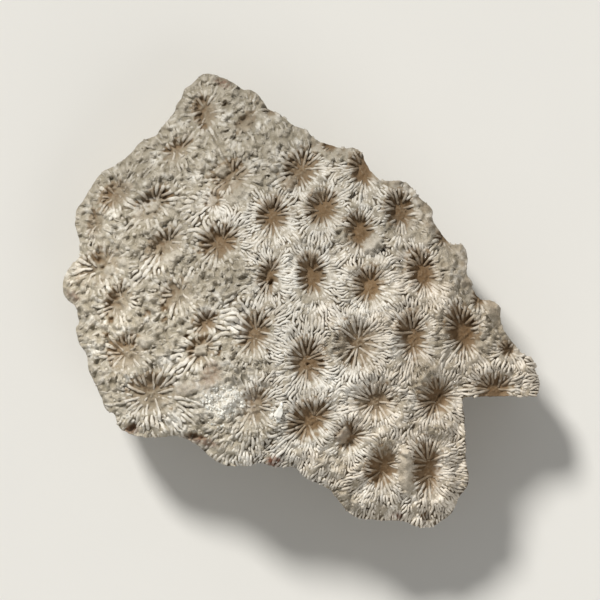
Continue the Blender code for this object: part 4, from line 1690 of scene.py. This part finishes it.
@functools.lru_cache(maxsize=None)
def limestone():
    """Cream crests, brown grooves and pits, a grey-tan crust, white calcite and rust, with painted
    light and shade.
    """
    tree = material_tree("fossil_limestone")

    def value(name):
        return tree.node("ShaderNodeAttribute", attribute_name=name).outputs["Fac"]

    def tinted(share, stone, tint):
        return mix_colour(tree, share, stone, stone_colour(tint))

    mottle = noise_value(tree, 1.4 * MM, 4.0, 0.6)
    grain = noise_value(tree, 0.22 * MM, 2.0, 0.6)
    broad = noise_value(tree, 9.0 * MM)
    toward = tree.math("MULTIPLY", tree.math("SUBTRACT", 0.62, value("lift")), 0.35)
    lift = tree.math("MULTIPLY_ADD", toward, value("worn"), value("lift"))
    mottled = tree.math("MULTIPLY_ADD", value("worn"), -0.35, 0.7)
    mottled = tree.math("MULTIPLY", tree.math("SUBTRACT", mottle, 0.5), mottled)
    lift = tree.math("ADD", lift, mottled)
    # From groove to crest: the stone's own tones, with painted shade towards the grooves.
    stone = tinted(ranged(tree, lift, 0.0, 0.55), stone_colour("groove"), "crust")
    stone = tinted(ranged(tree, lift, 0.5, 1.0), stone, "crest")
    # Painted highlight: the highest crests turn frost white.
    stone = tinted(ranged(tree, lift, 0.92, 1.15, 0.0, 0.9), stone, "frost")
    # In the pits, from the pit brown in the gaps to tan on the crests, partly painted shade.
    brown = tinted(ranged(tree, lift, 0.1, 1.1), stone_colour("pit"), "pit_crest")
    stone = mix_colour(tree, value("pit"), stone, brown)
    on_crests = ranged(tree, lift, 0.15, 0.75, 0.45, 1.0)
    stone = tinted(tree.math("MULTIPLY", value("frost"), on_crests), stone, "frost")
    stone = tinted(value("stain"), stone, "stain")
    stone = tinted(tree.math("MULTIPLY", value("worn"), 0.25), stone, "crust")
    stone = mix_colour(tree, value("warm"), stone, stone_colour("warmth"), "MULTIPLY")
    # The shade value carries the painted light and shade; the broad noise is the stone's own uneven
    # tone.
    tone = tree.math("MULTIPLY", value("shade"), tree.math("MULTIPLY_ADD", broad, 0.5, 0.75))
    depth = tree.math("MULTIPLY_ADD", value("worn"), 0.3, 0.5)
    speckle = tree.math("MULTIPLY_ADD", tree.math("SUBTRACT", grain, 0.5), depth, 1.0)
    tone = tree.math("MULTIPLY", tone, speckle)
    tree.set(tree.shader["Base Color"], tree.scaled(stone, tone))
    tree.set(tree.shader["Roughness"], ranged(tree, value("frost"), 0.0, 1.0, 0.9, 0.6))
    tree.shader["Specular IOR Level"].default_value = 0.3
    rough = noise_value(tree, 0.38 * MM, 3.0, 0.65)
    strength = tree.math("MULTIPLY_ADD", value("worn"), 0.7, 0.3)
    bump = {"Strength": strength, "Distance": 0.3 * MM, "Height": rough}
    tree.set(tree.shader["Normal"], tree.node("ShaderNodeBump", bump))
    return tree.material


@functools.lru_cache(maxsize=None)
def calcite():
    """Clear white crystal with a glassy face."""
    tree = material_tree("calcite")
    cloud = ranged(tree, noise_value(tree, 0.5 * MM), 0.35, 0.7)
    milky = mix_colour(tree, cloud, stone_colour("frost"), stone_colour("clear"))
    tree.set(tree.shader["Base Color"], milky)
    tree.shader["Roughness"].default_value = 0.16
    tree.shader["Specular IOR Level"].default_value = 0.6
    return tree.material


def floor_material():
    tree = material_tree("studio_floor")
    shade = tree.math("MULTIPLY_ADD", noise_value(tree, 30.0 * MM, 3.0), 0.04, 0.98)
    colour = tuple(bpy.context.scene.coral_stage.floor)
    tree.set(tree.shader["Base Color"], tree.scaled(colour, shade))
    tree.shader["Roughness"].default_value = 0.8
    return tree.material


# ---------------------------------------------------------------- the stage


# Sizes of the stage, in metres.
CAMERA_HEIGHT = 0.9
VIEW_WIDTH = 0.09
VIEW_CENTRE = (-0.15 * MM, 0.0)
MARGIN_HEIGHT = 12.0 * MM
FLOOR_SIZE = 3.0
FLOOR_DROP = 0.2 * MM
FARTHEST_SEEN = 10.0
# Where each light comes from, its width in degrees and its colour.
Light = namedtuple("Light", "direction width colour")
KEY_LIGHT = Light((-0.42, 0.70, 0.82), 12.0, (1.0, 0.97, 0.92))
FILL_LIGHT = Light((0.6, -0.75, 0.7), 40.0, (1.0, 0.98, 0.95))
AMBIENT_COLOUR = (1.0, 0.98, 0.94, 1.0)


def sun(name, light, strength):
    data = bpy.data.lights.new(name, "SUN")
    data.angle = math.radians(light.width)
    data.energy = strength
    data.color = light.colour
    turn = Vector(light.direction).to_track_quat("Z", "Y")
    new_object(name, data).rotation_euler = turn.to_euler()


class CORAL_OT_stage(Operator):
    """Set out the floor, the soft light and the camera straight above"""

    bl_idname = "coral.set_stage"
    bl_label = "Set the stage"

    def execute(self, context):
        settings = context.scene.coral_stage
        bpy.ops.mesh.primitive_plane_add(size=FLOOR_SIZE, location=(0.0, 0.0, -FLOOR_DROP))
        floor = context.object
        floor.name = "floor"
        floor.data.materials.append(floor_material())
        sun("fill_light", FILL_LIGHT, settings.fill_light)
        sun("key_light", KEY_LIGHT, settings.key_light)
        world = bpy.data.worlds.new("studio")
        world.use_nodes = True
        background = world.node_tree.nodes["Background"].inputs
        background["Color"].default_value = AMBIENT_COLOUR
        background["Strength"].default_value = settings.ambient
        context.scene.world = world
        lens = bpy.data.cameras.new("camera")
        lens.lens = lens.sensor_width * CAMERA_HEIGHT / VIEW_WIDTH
        lens.clip_end = FARTHEST_SEEN
        camera = new_object("camera", lens)
        camera.location = (*VIEW_CENTRE, MARGIN_HEIGHT + CAMERA_HEIGHT)
        context.scene.camera = camera
        context.scene.view_settings.view_transform = "Standard"
        return {"FINISHED"}


class CORAL_PT_panel(Panel):
    """The coral's steps in the sidebar"""

    bl_label = "Fossil coral head"
    bl_space_type = "VIEW_3D"
    bl_region_type = "UI"
    bl_category = "Coral"

    def draw(self, context):
        layout = self.layout
        for operator in OPERATORS:
            layout.operator(operator.bl_idname)
        for group in SETTINGS:
            settings = getattr(context.scene, group)
            for name in settings.__annotations__:
                layout.prop(settings, name)


SETTINGS = {
    "coral_stone": StoneSettings,
    "coral_ribs": RibSettings,
    "coral_crumbs": CrumbSettings,
    "coral_calcite": CalciteSettings,
    "coral_colours": StoneColours,
    "coral_stage": StageSettings,
}
OPERATORS = (
    CORAL_OT_crust,
    CORAL_OT_flank,
    CORAL_OT_ribs,
    CORAL_OT_crumbs,
    CORAL_OT_calcite,
    CORAL_OT_chips,
    CORAL_OT_stage,
)


def register():
    for name, group in SETTINGS.items():
        bpy.utils.register_class(group)
        setattr(bpy.types.Scene, name, PointerProperty(type=group))
    for operator in OPERATORS:
        bpy.utils.register_class(operator)
    bpy.utils.register_class(CORAL_PT_panel)


def unregister():
    bpy.utils.unregister_class(CORAL_PT_panel)
    for operator in reversed(OPERATORS):
        bpy.utils.unregister_class(operator)
    for name, group in SETTINGS.items():
        delattr(bpy.types.Scene, name)
        bpy.utils.unregister_class(group)


def main():
    register()
    bpy.ops.coral.build_crust()
    bpy.ops.coral.build_flank()
    bpy.ops.coral.grow_ribs()
    bpy.ops.coral.strew_crumbs()
    bpy.ops.coral.grow_calcite()
    bpy.ops.coral.set_chips()
    bpy.ops.coral.set_stage()


if __name__ == "__main__":
    main()
